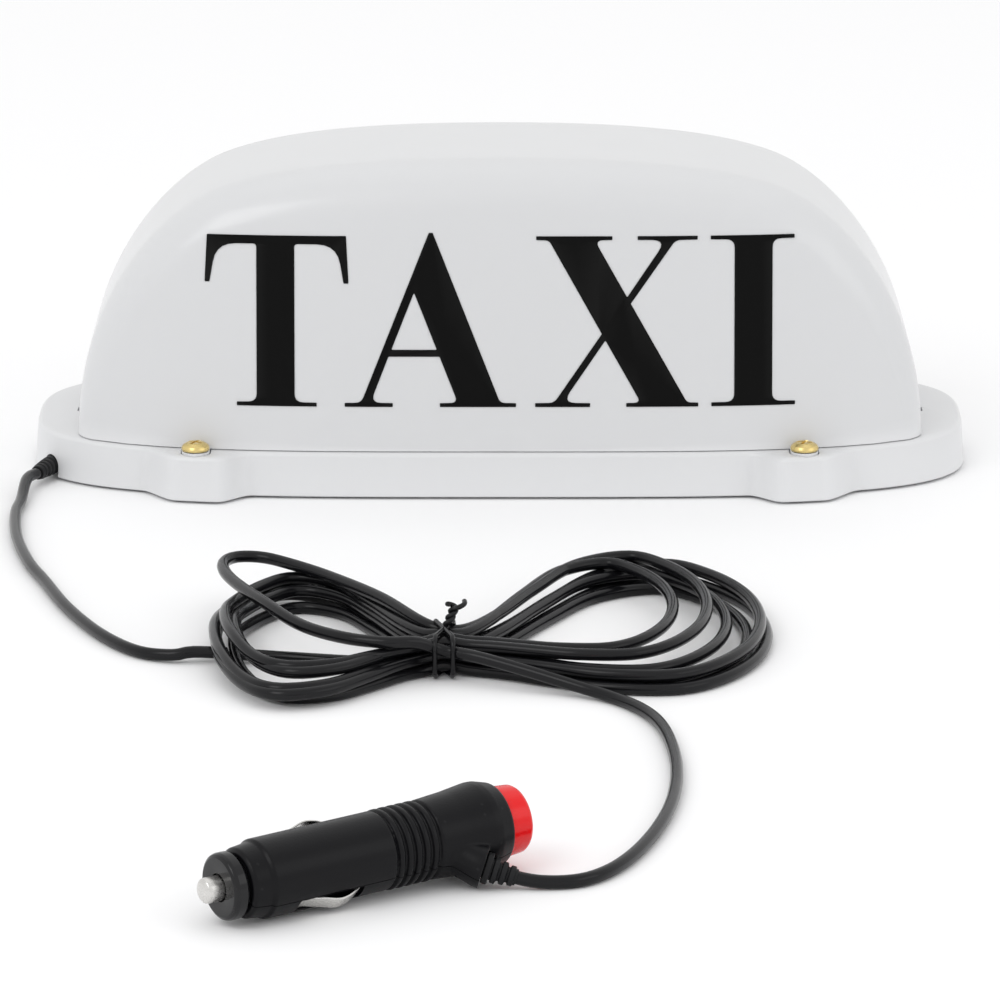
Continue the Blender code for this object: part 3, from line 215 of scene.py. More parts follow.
def finish(name, colour, roughness, skin, dust=0.1, worn_highlight_colour=None, metallic=0.0, **sockets):
    """Material with a worked surface: skin is (scale, bump height in mm, roughness spread); its convex edges
    are made lighter, partly as rubbed wear and partly as a painted highlight.
    """
    made = bpy.data.materials.new(name)
    made.use_nodes = True
    tree = made.node_tree
    shader = tree.nodes["Principled BSDF"]
    scale, height, spread = skin
    surface = put(tree, "ShaderNodeGroup", node_tree=METAL if metallic else GRAIN)
    wire(tree, surface, {"Scale": scale, "Roughness": roughness, "Spread": spread})
    bump = put(tree, "ShaderNodeBump", {"Height": surface.outputs["Height"], "Distance": height * MM})
    # Convex edges take a lighter colour, by default the base colour made lighter: partly rubbed wear, partly
    # a painted highlight.
    worn_and_highlit = put(tree, "ShaderNodeGroup", node_tree=EDGE_WEAR_AND_HIGHLIGHT)
    worn_highlight_colour = worn_highlight_colour or tuple(min(1, c * 1.15 + 0.01) for c in colour)
    wire(tree, worn_and_highlit, {"Colour": (*colour, 1), "Worn and highlit": (*worn_highlight_colour, 1), "Amount": 0.6})
    settled = put(tree, "ShaderNodeGroup", node_tree=DUST)
    wire(tree, settled, {"Colour": worn_and_highlit.outputs[0], "Dust": PALE_DUST, "Amount": dust})
    wire(tree, shader, {
        "Base Color": settled.outputs[0],
        "Roughness": surface.outputs["Roughness"],
        "Normal": bump.outputs[0],
        "Metallic": metallic,
    })
    for label, value in sockets.items():
        shader.inputs[label.replace("_", " ")].default_value = value
    return made


def make_finishes():
    # Every finish gets lighter convex edges, partly wear and partly a painted highlight; zinc and red plastic
    # give their own lighter edge colours.
    return {
        "white_abs": finish("white_abs", (0.69, 0.695, 0.705), 0.34, (900, 0.02, 0.12), 0.05),
        "milk_acrylic": finish(
            "milk_acrylic", (0.655, 0.66, 0.67), 0.3, (220, 0.02, 0.08), 0.03,
            Subsurface_Weight=0.35, Subsurface_Radius=(0.006, 0.006, 0.006), Coat_Weight=0.25,
        ),
        "silicone": finish("silicone", (0.78, 0.8, 0.8), 0.5, (500, 0.02, 0.1), Subsurface_Weight=0.3),
        "black_vinyl": finish(
            "black_vinyl", (0.004, 0.004, 0.004), 0.55, (700, 0.015, 0.12), 0.0, Specular_IOR_Level=0.06
        ),
        "yellow_zinc": finish(
            "yellow_zinc", (0.74, 0.58, 0.24), 0.3, (1500, 0.02, 0.25), 0.1, (0.85, 0.78, 0.55), 1.0
        ),
        "brass": finish("brass", (0.72, 0.53, 0.22), 0.32, (1800, 0.02, 0.2), metallic=1.0),
        "steel": finish("steel", (0.58, 0.59, 0.6), 0.35, (1200, 0.02, 0.2), metallic=1.0),
        "nickel": finish("nickel", (0.66, 0.65, 0.63), 0.28, (1600, 0.015, 0.25), metallic=1.0),
        "ferrite": finish("ferrite", (0.07, 0.07, 0.075), 0.6, (1500, 0.05, 0.2)),
        "black_rubber": finish(
            "black_rubber", (0.006, 0.006, 0.007), 0.5, (1300, 0.05, 0.2), 0.0, Specular_IOR_Level=0.25
        ),
        "board_mask": finish("board_mask", (0.84, 0.85, 0.83), 0.4, (600, 0.01, 0.1)),
        "lamp_phosphor": finish("lamp_phosphor", (0.9, 0.76, 0.22), 0.35, (800, 0.03, 0.1)),
        "black_pvc": finish(
            "black_pvc", (0.004, 0.004, 0.005), 0.2, (700, 0.02, 0.16), 0.0, Specular_IOR_Level=0.24
        ),
        "red_pvc": finish("red_pvc", (0.66, 0.02, 0.02), 0.4, (800, 0.02, 0.1)),
        "black_abs": finish(
            "black_abs", (0.004, 0.004, 0.005), 0.32, (1400, 0.03, 0.14), 0.0, Specular_IOR_Level=0.16
        ),
        "gloss_black": finish(
            "gloss_black", (0.008, 0.008, 0.009), 0.1, (500, 0.005, 0.08), 0.0, Specular_IOR_Level=0.3
        ),
        "fuse_glass": finish("fuse_glass", (0.85, 0.9, 0.9), 0.08, (300, 0.005, 0.02), 0.0),
        "red_plastic": finish(
            "red_plastic", (0.74, 0.0, 0.002), 0.2, (400, 0.01, 0.08), 0.0, (0.8, 0.01, 0.01),
            Specular_IOR_Level=0.4,
        ),
    }


FINISH = make_finishes()


# ---------------------------------------------------------------- meshes


def new_tree(name, inputs):
    """Empty Geometry Nodes tree with one geometry in and out, and named inputs."""
    tree = bpy.data.node_groups.new(name, "GeometryNodeTree")
    tree.interface.new_socket("Geometry", in_out="INPUT", socket_type="NodeSocketGeometry")
    for label, kind in inputs:
        tree.interface.new_socket(label, in_out="INPUT", socket_type=kind)
    tree.interface.new_socket("Geometry", in_out="OUTPUT", socket_type="NodeSocketGeometry")
    return tree, tree.nodes.new("NodeGroupInput").outputs


def close_tree(tree, geometry, material):
    """Realise, name the material and send the geometry out."""
    real = put(tree, "GeometryNodeRealizeInstances", {"Geometry": geometry})
    named = put(tree, "GeometryNodeSetMaterial", {"Geometry": real.outputs[0], "Material": material})
    out = tree.nodes.new("NodeGroupOutput")
    tree.links.new(named.outputs[0], out.inputs[0])


def turning_tree():
    """Turn a profile, a row of points at (radius, 0, height), about Z."""
    inputs = [("Rows", "NodeSocketInt"), ("Steps", "NodeSocketInt"), ("Material", "NodeSocketMaterial")]
    tree, given = new_tree("turned_piece", inputs)
    around = maths(tree, "ADD", given["Steps"], 1.0)
    sheet = put(tree, "GeometryNodeMeshGrid", {"Vertices X": given["Rows"], "Vertices Y": around})
    index = put(tree, "GeometryNodeInputIndex").outputs[0]
    row = maths(tree, "FLOOR", maths(tree, "DIVIDE", maths(tree, "ADD", index, 0.5), around))
    column = maths(tree, "SUBTRACT", index, maths(tree, "MULTIPLY", row, around))
    profile = put(tree, "GeometryNodeSampleIndex", data_type="FLOAT_VECTOR", domain="POINT")
    here = put(tree, "GeometryNodeInputPosition").outputs[0]
    wire(tree, profile, {"Geometry": given["Geometry"], "Value": here, "Index": row})
    split = put(tree, "ShaderNodeSeparateXYZ", {0: profile.outputs[0]}).outputs
    angle = maths(tree, "DIVIDE", maths(tree, "MULTIPLY", column, 2 * math.pi), given["Steps"])
    x = maths(tree, "MULTIPLY", split["X"], maths(tree, "COSINE", angle))
    y = maths(tree, "MULTIPLY", split["X"], maths(tree, "SINE", angle))
    spot = put(tree, "ShaderNodeCombineXYZ", {"X": x, "Y": y, "Z": split["Z"]}).outputs[0]
    moved = put(tree, "GeometryNodeSetPosition", {"Geometry": sheet.outputs[0], "Position": spot})
    whole = put(tree, "GeometryNodeMergeByDistance", {"Geometry": moved.outputs[0], "Distance": 1e-4})
    close_tree(tree, whole.outputs[0], given["Material"])
    return tree


def setting_out_tree():
    """Set copies of a piece out on a rectangle of points, each turned by chance about Z."""
    inputs = [("Count X", "NodeSocketInt"), ("Count Y", "NodeSocketInt"), ("Size X", "NodeSocketFloat")]
    inputs += [("Size Y", "NodeSocketFloat"), ("Turn", "NodeSocketFloat"), ("Seed", "NodeSocketInt")]
    inputs += [("Material", "NodeSocketMaterial")]
    tree, given = new_tree("pieces_set_out", inputs)
    points = put(tree, "GeometryNodeMeshGrid", {
        "Vertices X": given["Count X"], "Vertices Y": given["Count Y"],
        "Size X": given["Size X"], "Size Y": given["Size Y"],
    })
    chance = put(tree, "FunctionNodeRandomValue", data_type="FLOAT")
    wire(tree, chance, {3: given["Turn"], "Seed": given["Seed"]})
    euler = put(tree, "ShaderNodeCombineXYZ", {"Z": chance.outputs[1]})
    turn = put(tree, "FunctionNodeEulerToRotation", {0: euler.outputs[0]})
    copies = put(tree, "GeometryNodeInstanceOnPoints", {
        "Points": points.outputs[0], "Instance": given["Geometry"], "Rotation": turn.outputs[0],
    })
    close_tree(tree, copies.outputs[0], given["Material"])
    return tree


TURNING = turning_tree()
SETTING_OUT = setting_out_tree()


def evaluated(carrier):
    """The plain mesh that an object's modifiers make; the object is removed."""
    depsgraph = bpy.context.evaluated_depsgraph_get()
    made = bpy.data.meshes.new_from_object(carrier.evaluated_get(depsgraph))
    bpy.data.objects.remove(carrier)
    return made


def carrier_of(data, name="carrier"):
    made = bpy.data.objects.new(name, data)
    bpy.context.scene.collection.objects.link(made)
    return made


def run_tree(tree, source, values):
    carrier = carrier_of(source)
    step = carrier.modifiers.new(tree.name, "NODES")
    step.node_group = tree
    for item in tree.interface.items_tree:
        if item.name in values and item.in_out == "INPUT":
            step[item.identifier] = values[item.name]
    return evaluated(carrier)


def mesh_of(shape, name="shape"):
    made = bpy.data.meshes.new(name)
    shape.to_mesh(made)
    shape.free()
    return made


def rounded(points, steps=6, closed=False):
    """Outline with arcs at its corners: each point is (x, y) or (x, y, radius)."""
    outline = []
    count = len(points)
    for i, point in enumerate(points):
        here = Vector(point[:2])
        radius = point[2] if len(point) > 2 else 0
        if not radius or (not closed and i in (0, count - 1)):
            outline.append(here)
            continue
        before = Vector(points[i - 1][:2]) - here
        after = Vector(points[(i + 1) % count][:2]) - here
        half = before.angle(after) / 2
        reach = min(radius / math.tan(half), before.length * 0.49, after.length * 0.49)
        a, b = here + before.normalized() * reach, here + after.normalized() * reach
        for step in range(steps + 1):
            t = step / steps
            outline.append(a * (1 - t) ** 2 + here * 2 * t * (1 - t) + b * t * t)
    return outline


def turned(profile, material, steps=64):
    """Mesh turned about Z from (radius, height, corner radius) points that start and end on it."""
    rows = rounded(profile)
    line = bpy.data.meshes.new("profile")
    line.from_pydata([(x, 0, z) for x, z in rows], [], [])
    return run_tree(TURNING, line, {"Rows": len(rows), "Steps": steps, "Material": FINISH[material]})


def outward(mesh):
    shape = bmesh.new()
    shape.from_mesh(mesh)
    bmesh.ops.remove_doubles(shape, verts=shape.verts, dist=1e-7)
    bmesh.ops.recalc_face_normals(shape, faces=shape.faces)
    if shape.calc_volume(signed=True) < 0:
        bmesh.ops.reverse_faces(shape, faces=shape.faces)
    shape.to_mesh(mesh)
    shape.free()


def piece(name, mesh, slot, body=ROOT, nodes=(), place=SMALL, crease=32):
    """Finished piece: placed, facing out, shaded, and riding on its body."""
    mesh.transform(place)
    outward(mesh)
    mesh.name = name
    mesh.shade_smooth()
    mesh.set_sharp_from_angle(angle=math.radians(crease))
    mesh.materials.clear()
    mesh.materials.append(FINISH[slot])
    made = bpy.data.objects.new(name, mesh)
    bpy.context.scene.collection.objects.link(made)
    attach(made, body)
    if nodes:
        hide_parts(*nodes)
    return made


def boolean(mesh, other, operation):
    """A mesh after one exact Boolean with another."""
    carrier, tool = carrier_of(mesh), carrier_of(other, "tool")
    step = carrier.modifiers.new("cut", "BOOLEAN")
    step.operation = operation
    step.object = tool
    step.solver = "EXACT"
    made = evaluated(carrier)
    bpy.data.objects.remove(tool)
    return made


def loft(loops, closed=False):
    """Skin over loops with the same number of points; its ends are capped unless it is closed."""
    shape = bmesh.new()
    rings = [[shape.verts.new(p) for p in loop] for loop in loops]
    count = len(rings[0])
    pairs = list(zip(rings, rings[1:]))
    if closed:
        pairs.append((rings[-1], rings[0]))
    for low, high in pairs:
        for i in range(count):
            j = (i + 1) % count
            shape.faces.new((low[i], low[j], high[j], high[i]))
    if not closed:
        shape.faces.new(rings[0][::-1])
        shape.faces.new(rings[-1])
    bmesh.ops.recalc_face_normals(shape, faces=shape.faces)
    return mesh_of(shape)


def box(low, high):
    corners = [(low[0], low[1]), (high[0], low[1]), (high[0], high[1]), (low[0], high[1])]
    return loft([[(x, y, z) for x, y in corners] for z in (low[2], high[2])])


def rod(radius, low, high, place, steps=24):
    turns = [2 * math.pi * i / steps for i in range(steps)]
    x, y = place
    ring = [(x + radius * math.cos(a), y + radius * math.sin(a)) for a in turns]
    return loft([[(across, deep, z) for across, deep in ring] for z in (low, high)])


def gathered(meshes):
    whole = bmesh.new()
    for mesh in meshes:
        whole.from_mesh(mesh)
    return mesh_of(whole)


def smooth_route(points, spacing):
    """Evenly spaced points on a Catmull-Rom curve."""
    fine = []
    last = len(points) - 1
    for i in range(last):
        a, b, c, d = (Vector(points[min(max(i + k, 0), last)]) for k in (-1, 0, 1, 2))
        for step in range(30):
            t = step / 30
            bend = (2 * a - 5 * b + 4 * c - d) * t * t + (3 * b - a - 3 * c + d) * t**3
            fine.append(b + ((c - a) * t + bend) / 2)
    fine.append(Vector(points[-1]))
    travelled = [0.0]
    for p, q in zip(fine, fine[1:]):
        travelled.append(travelled[-1] + (q - p).length)
    steps = round(travelled[-1] / spacing)
    route, k = [], 0
    for i in range(steps + 1):
        target = travelled[-1] * i / steps
        while k < len(fine) - 2 and travelled[k + 1] < target:
            k += 1
        share = (target - travelled[k]) / max(travelled[k + 1] - travelled[k], 1e-9)
        route.append(fine[k].lerp(fine[k + 1], min(share, 1)))
    return route, travelled[-1]


def round_wire(name, route, diameter, slot):
    """Bevelled curve with closed ends, in metres."""
    data = bpy.data.curves.new(name, "CURVE")
    data.dimensions = "3D"
    data.bevel_depth = diameter / 2 * MM
    data.bevel_resolution = 4
    data.use_fill_caps = True
    spline = data.splines.new("POLY")
    spline.points.add(len(route) - 1)
    for point, place in zip(spline.points, route):
        point.co = (*(c * MM for c in place), 1)
    spline.use_smooth = True
    data.materials.append(FINISH[slot])
    made = bpy.data.objects.new(name, data)
    bpy.context.scene.collection.objects.link(made)
    return made


# ---------------------------------------------------------------- base


def half_depth(x, inset=0.0):
    """Half depth of the base's plan at x, for an outline moved in by inset."""
    share = min(1.0, abs(x) / (HALF_LENGTH - inset))
    return (HALF_DEPTH - inset) * (1 - share**PLAN_POWER_X) ** (1 / PLAN_POWER_Y)


SCREW_Y = half_depth(LOBE_X, DOME_LEDGE) + SCREW_HEAD + 0.5
LOBE_OUT = SCREW_Y + LOBE_MARGIN - half_depth(LOBE_X)
LOBES = [(x, y) for y in (-SCREW_Y, SCREW_Y) for x in (-LOBE_X, LOBE_X)]


def lobe(x, inset):
    past = abs(abs(x) - LOBE_X) - (LOBE_HALF_FLAT - inset)
    if past <= 0:
        return LOBE_OUT
    if past >= LOBE_RAMP:
        return 0.0
    return LOBE_OUT * (1 + math.cos(math.pi * past / LOBE_RAMP)) / 2


def plan_stations():
    reach = LOBE_HALF_FLAT + LOBE_RAMP + 1
    stations = []
    for i in range(121):
        share = math.cos(math.pi * i / 120)
        x = math.copysign(HALF_LENGTH * abs(share) ** (2 / PLAN_POWER_X), share)
        if abs(abs(x) - LOBE_X) > reach:
            stations.append(x)
    stations += [side * LOBE_X + reach * i / 18 for side in (-1, 1) for i in range(-18, 19)]
    return sorted(stations, reverse=True)


STATIONS = plan_stations()


def base_loop(z, inset):
    shrink = (HALF_LENGTH - inset) / HALF_LENGTH
    front = [(x * shrink, -half_depth(x * shrink, inset) - lobe(x * shrink, inset), z) for x in STATIONS]
    return front + [(x, -y, z) for x, y, z in reversed(front[1:-1])]


def ear(place, radius, inner, low, high):
    """Half-round tab about a screw that runs square into the dome's wall."""
    side = 1 if place[1] < 0 else -1
    turns = [math.pi * i / 24 for i in range(25)]
    outline = [(radius * math.cos(a), -radius * math.sin(a)) for a in turns]
    outline += [(-radius, inner), (radius, inner)]
    return loft([[(place[0] + x, place[1] + side * y, z) for x, y in outline] for z in (low, high)])


def wall_offset(share):
    return SCREW_Y - half_depth(LOBE_X, DOME_LEDGE + DOME_WALL * share)


def make_base():
    """White base: skirt with draft, rounded top edge, four lobes, bosses and ribs below."""
    deck_under = BASE_TOP - DECK_THICKNESS
    corner = 0.4
    loops = [base_loop(deck_under, SKIRT_WALL + SKIRT_DRAFT), base_loop(SKIRT_LOW + corner, SKIRT_WALL)]
    loops += [base_loop(SKIRT_LOW, SKIRT_WALL - corner), base_loop(SKIRT_LOW, corner)]
    loops.append(base_loop(SKIRT_LOW + corner, 0))
    for step in range(7):
        angle = math.radians(15 * step)
        inset = SKIRT_DRAFT + TOP_ROUND * (1 - math.cos(angle))
        loops.append(base_loop(BASE_TOP - TOP_ROUND * (1 - math.sin(angle)), inset))
    body = loft(loops)
    raised = [rod(4.9, 2.0, deck_under + 1, place) for place in LOBES]
    raised += [rod(11.5, 9.0, deck_under + 1, (x, y)) for x in (-82, 82) for y in (-27, 27)]
    raised += [rod(4, BASE_TOP - 1, BASE_TOP + 4, (x, 0)) for x in (-85, 85)]
    raised += [box((x - 1, -52, deck_under - 4), (x + 1, 52, deck_under + 1)) for x in (-42, 0, 42)]
    body = boolean(body, gathered(raised), "UNION")
    floor = EAR_TOP - EAR_THICKNESS - 0.3
    pockets = [ear(p, EAR_RADIUS + 0.3, wall_offset(0.5) + 0.3, floor, BASE_TOP + 2) for p in LOBES]
    body = boolean(body, gathered(pockets), "DIFFERENCE")
    bores = [rod(3.4, floor - 9.5, floor + 1, p) for p in LOBES]
    bores += [rod(1.5, BASE_TOP - 1.5, BASE_TOP + 5, (x, 0), 16) for x in (-85, 85)]
    bores.append(rod(3.5, deck_under - 1, BASE_TOP + 1, (-112, 0)))
    for side in (-1, 1):
        near, far = sorted((side * (DOME_HALF_LENGTH + 0.5), side * (DOME_HALF_LENGTH + 2.3)))
        bores.append(box((near, -2.5, deck_under - 1), (far, 2.5, BASE_TOP + 1)))
    body = boolean(body, gathered(bores), "DIFFERENCE")
    body = boolean(body, lead_notch(), "DIFFERENCE")
    piece("base_moulding", body, "white_abs", nodes=["base_shell"])


# ---------------------------------------------------------------- lead's way out

EXIT = Vector((-143.2, -29.6, 4.3))
EXIT_TURN = math.radians(20)
EXIT_WAY = Vector((-math.sin(EXIT_TURN), -math.cos(EXIT_TURN), 0))
EXIT_FRAME = Matrix.Translation(EXIT) @ EXIT_WAY.to_track_quat("Z", "Y").to_matrix().to_4x4()
GROMMET_NOSE = 12.0


def lead_notch():
    turns = [math.pi * i / 20 for i in range(21)]
    outline = [(3.3 * math.cos(a), 3.3 * math.sin(a)) for a in turns]
    outline += [(-3.3, -EXIT.z - 1), (3.3, -EXIT.z - 1)]
    side = Vector((math.cos(EXIT_TURN), -math.sin(EXIT_TURN), 0))
    return loft([
        [EXIT + EXIT_WAY * along + side * x + Vector((0, 0, z)) for x, z in outline] for along in (-9, 12)
    ])


def make_grommet():
    """Rubber bush with a stepped, tapered nose."""
    profile = [(0, -11), (3.9, -11, 0.5), (3.9, -7.6, 0.5), (3, -7.6, 0.3), (3, 2.8, 0.5)]
    for ring in range(3):
        low = 4.2 + ring * 2.2
        radius = 2.9 - ring * 0.18
        profile += [(radius - 0.35, low - 0.7, 0.2), (radius - 0.35, low, 0.2), (radius, low, 0.3)]
        profile += [(radius, low + 1.2, 0.3)]
    profile += [(2.3, 10.2, 0.3), (2.25, GROMMET_NOSE, 0.3), (0, GROMMET_NOSE)]
    bush = turned(profile, "black_rubber", 40)
    piece("exit_grommet", bush, "black_rubber", nodes=["cord_grommet"], place=SMALL @ EXIT_FRAME)


# ---------------------------------------------------------------- dome


def bezier(a, b, c, d, t):
    return a * (1 - t) ** 3 + b * 3 * t * (1 - t) ** 2 + c * 3 * t * t * (1 - t) + d * t**3


def silhouette(side_steps=30, top_steps=22):
    """Front view of the dome from foot over crown to foot, as (point, inward normal) pairs."""
    lean = Vector((1, -SHOULDER_SLOPE)).normalized()
    foot = Vector((DOME_HALF_LENGTH, 0))
    crown = Vector((0, DOME_HEIGHT))
    side = (foot, foot + Vector((0, HANDLES[0])), SHOULDER + lean * HANDLES[1], SHOULDER)
    top = (SHOULDER, SHOULDER - lean * HANDLES[2], crown + Vector((HANDLES[3], 0)), crown)
    half = []
    for handles, count in ((side, side_steps), (top, top_steps)):
        for i in range(count + (handles is top)):
            t = i / count
            along = bezier(*handles, min(t + 0.001, 1)) - bezier(*handles, max(t - 0.001, 0))
            half.append((bezier(*handles, t), Vector((-along.y, along.x)).normalized()))
    return half + [(Vector((-p.x, p.y)), Vector((-n.x, n.y))) for p, n in reversed(half[:-1])]


def edge_round(height):
    return EDGE_ROUND[0] + (EDGE_ROUND[1] - EDGE_ROUND[0]) * height / DOME_HEIGHT


def face_plane(x, height):
    return half_depth(x, DOME_LEDGE) - height * math.tan(FACE_LEAN)


def dome_columns(inset, round_steps, face_steps):
    """For each silhouette point, the section from the rim's middle to near the face's middle."""
    columns = []
    for outer, inward in silhouette():
        edge = outer + inward * inset
        radius = edge_round(outer.y) - inset
        rim = face_plane(outer.x, outer.y) - inset - radius
        column = [Vector((edge.x, -rim * k / 4, edge.y)) for k in range(4)]
        for step in range(round_steps + 1):
            angle = math.pi / 2 * step / round_steps
            spot = edge + inward * radius * (1 - math.cos(angle))
            deep = face_plane(spot.x, spot.y) - inset - radius * (1 - math.sin(angle))
            column.append(Vector((spot.x, -deep, spot.y)))
        start = edge + inward * radius
        for step in range(1, face_steps):
            spot = start * (1 - step / face_steps)
            column.append(Vector((spot.x, inset - face_plane(spot.x, spot.y), spot.y)))
        columns.append(column)
    return columns


def dome_skin(shape, inset):
    lift = Vector((0, 0, DOME_FOOT))
    middle = face_plane(0, 0) - inset
    poles = [shape.verts.new(Vector((0, side * middle, 0)) + lift) for side in (-1, 1)]
    grid = []
    for column in dome_columns(inset, 9, 12):
        section = [p + lift for p in reversed(column)]
        section += [Vector((p.x, -p.y, p.z)) + lift for p in column[1:]]
        grid.append([shape.verts.new(p) for p in section])
    for left, right in zip(grid, grid[1:]):
        for k in range(len(left) - 1):
            shape.faces.new((left[k], left[k + 1], right[k + 1], right[k]))
        shape.faces.new((poles[0], left[0], right[0]))
        shape.faces.new((poles[1], right[-1], left[-1]))
    return [poles[0], *grid[0], poles[1], *reversed(grid[-1])]


def make_dome():
    """Opal dome with its wall, and the ears that its screws hold."""
    shape = bmesh.new()
    outside = dome_skin(shape, 0.0)
    inside = dome_skin(shape, DOME_WALL)
    for i in range(len(outside)):
        j = (i + 1) % len(outside)
        shape.faces.new((outside[i], outside[j], inside[j], inside[i]))
    bmesh.ops.recalc_face_normals(shape, faces=shape.faces)
    ears = [ear(p, EAR_RADIUS, wall_offset(0.5), EAR_TOP - EAR_THICKNESS, EAR_TOP) for p in LOBES]
    body = boolean(mesh_of(shape), gathered(ears), "UNION")
    holes = [rod(2.2, EAR_TOP - EAR_THICKNESS - 1, EAR_TOP + 1, p) for p in LOBES]
    body = boolean(body, gathered(holes), "DIFFERENCE")
    piece("opal_dome", body, "milk_acrylic", nodes=["dome_cover"], crease=40)


# ---------------------------------------------------------------- letters

# Corners as (x, height, corner radius), in shares of a letter's height; large radii bracket
# the serifs, as on a painted capital with heavy stems and thin bars.
LETTER_T = [
    (0, 0.722, 0.006), (0.014, 1, 0.006), (0.804, 1, 0.006), (0.818, 0.722, 0.006), (0.79, 0.722, 0.006),
    (0.752, 0.949, 0.17), (0.511, 0.951, 0.02), (0.511, 0.024, 0.05), (0.636, 0.022, 0.004),
    (0.636, 0, 0.004), (0.182, 0, 0.004), (0.182, 0.022, 0.004), (0.295, 0.024, 0.05),
    (0.295, 0.951, 0.02), (0.066, 0.949, 0.17), (0.028, 0.722, 0.006),
]
LETTER_A = [
    (0, 0, 0.004), (0, 0.022, 0.004), (0.094, 0.024, 0.05), (0.478, 1.02, 0.004), (0.5, 1.02, 0.004),
    (0.882, 0.024, 0.04), (0.972, 0.022, 0.004), (0.972, 0, 0.004), (0.54, 0, 0.004),
    (0.54, 0.022, 0.004), (0.642, 0.024, 0.03), (0.538, 0.295, 0.008), (0.249, 0.295, 0.008),
    (0.146, 0.024, 0.05), (0.273, 0.022, 0.004), (0.273, 0, 0.004),
]
LETTER_A_EYE = [(0.265, 0.335, 0.006), (0.523, 0.335, 0.006), (0.394, 0.671, 0.006)]
LETTER_X = [
    (0.006, 1, 0.004), (0.437, 1, 0.004), (0.437, 0.978, 0.004), (0.337, 0.976, 0.03), (0.521, 0.642, 0.006),
    (0.742, 0.976, 0.05), (0.58, 0.978, 0.004), (0.58, 1, 0.004), (0.92, 1, 0.004),
    (0.92, 0.978, 0.004), (0.795, 0.976, 0.06), (0.542, 0.605, 0.006), (0.862, 0.024, 0.04),
    (0.926, 0.022, 0.004), (0.926, 0, 0.004), (0.517, 0, 0.004), (0.517, 0.022, 0.004),
    (0.6, 0.024, 0.03), (0.398, 0.39, 0.006), (0.155, 0.024, 0.06), (0.312, 0.022, 0.004),
    (0.312, 0, 0.004), (0, 0, 0.004), (0, 0.022, 0.004), (0.108, 0.024, 0.06), (0.378, 0.428, 0.006),
    (0.078, 0.976, 0.04), (0.006, 0.978, 0.004),
]
LETTER_I = [
    (0, 1, 0.004), (0.477, 1, 0.004), (0.477, 0.978, 0.004), (0.352, 0.976, 0.05), (0.352, 0.024, 0.05),
    (0.483, 0.022, 0.004), (0.483, 0, 0.004), (0.006, 0, 0.004), (0.006, 0.022, 0.004),
    (0.136, 0.024, 0.05), (0.136, 0.976, 0.05), (0, 0.978, 0.004),
]
WORD = [("T", [LETTER_T], 0), ("A", [LETTER_A, LETTER_A_EYE], 0.795), ("X", [LETTER_X], 1.875)]
WORD.append(("I", [LETTER_I], 2.869))
WORD_WIDTH = 3.352
STRIP = 4.0


def flat_letter(outlines, start):
    """Flat film of a letter in x and y, cut into narrow strips so that it can follow the face."""
    data = bpy.data.curves.new("letter", "CURVE")
    data.dimensions = "2D"
    data.fill_mode = "BOTH"
    data.extrude = FILM / 2
    for outline in outlines:
        points = rounded(outline, 5, closed=True)
        spline = data.splines.new("POLY")
        spline.points.add(len(points) - 1)
        spline.use_cyclic_u = True
        for point, (x, height) in zip(spline.points, points):
            across = (x + start - WORD_WIDTH / 2) * LETTER_UNIT
            point.co = (across, LETTER_LOW + height * LETTER_HEIGHT, 0, 1)
    plate = evaluated(carrier_of(data))
    shape = bmesh.new()
    shape.from_mesh(plate)
    bmesh.ops.remove_doubles(shape, verts=shape.verts, dist=0.001)
    half = WORD_WIDTH * LETTER_UNIT / 2
    for i in range(1, math.ceil(2 * half / STRIP)):
        geometry = [*shape.verts, *shape.edges, *shape.faces]
        where = (i * STRIP - half, 0, 0)
        bmesh.ops.bisect_plane(shape, geom=geometry, dist=0.001, plane_co=where, plane_no=(1, 0, 0))
    return shape


def make_letters():
    for side, face in ((-1, "front"), (1, "back")):
        for letter, outlines, start in WORD:
            shape = flat_letter(outlines, start)
            for v in shape.verts:
                depth = face_plane(v.co.x, v.co.y - DOME_FOOT) + FILM_LIFT
                depth += FILM if v.co.z > 0 else 0
                v.co = Vector((-side * v.co.x, side * depth, v.co.y))
            name = f"film_{letter}_{face}"
            piece(name, mesh_of(shape), "black_vinyl", nodes=[f"letter_{letter}_{face}"])


# ---------------------------------------------------------------- screws and magnets


def make_screws():
    """Pan heads with a cross recess on the four ears, each turned as it was driven."""
    seat = EAR_TOP + 0.3
    profile = [(0, seat - 9.5), (1.2, seat - 9.5, 0.3), (1.7, seat - 8.5, 0.3), (1.7, seat, 0.3)]
    profile += [(4.3, seat, 0.2), (4.5, seat + 0.6, 0.5), (4.1, seat + 1.6, 1.4), (2.6, seat + 2.5, 1.6)]
    profile += [(0, seat + 2.7)]
    head = turned(profile, "yellow_zinc", 48)
    top = seat + 2.7
    for half_x, half_y in ((2.8, 0.55), (0.55, 2.8)):
        slot = loft([
            [(x * half_x * s, y * half_y * s, z) for x, y in ((-1, -1), (1, -1), (1, 1), (-1, 1))]
            for z, s in ((top - 1.6, 0.55), (top + 1, 1.15))
        ])
        head = boolean(head, slot, "DIFFERENCE")
    settings = {
        "Count X": 2, "Count Y": 2, "Size X": 2 * LOBE_X, "Size Y": 2 * SCREW_Y, "Turn": 1.4, "Seed": 4,
    }
    four = run_tree(SETTING_OUT, head, {**settings, "Material": FINISH["yellow_zinc"]})
    names = [f"cover_screw_{a}_{b}" for a in ("front", "back") for b in ("left", "right")]
    piece("cover_screws", four, "yellow_zinc", nodes=names)


PAD_RADIUS = 17.5
PAD_THICKNESS = 1.5
PAD_SPAN_X = 164.0
PAD_SPAN_Y = 54.0


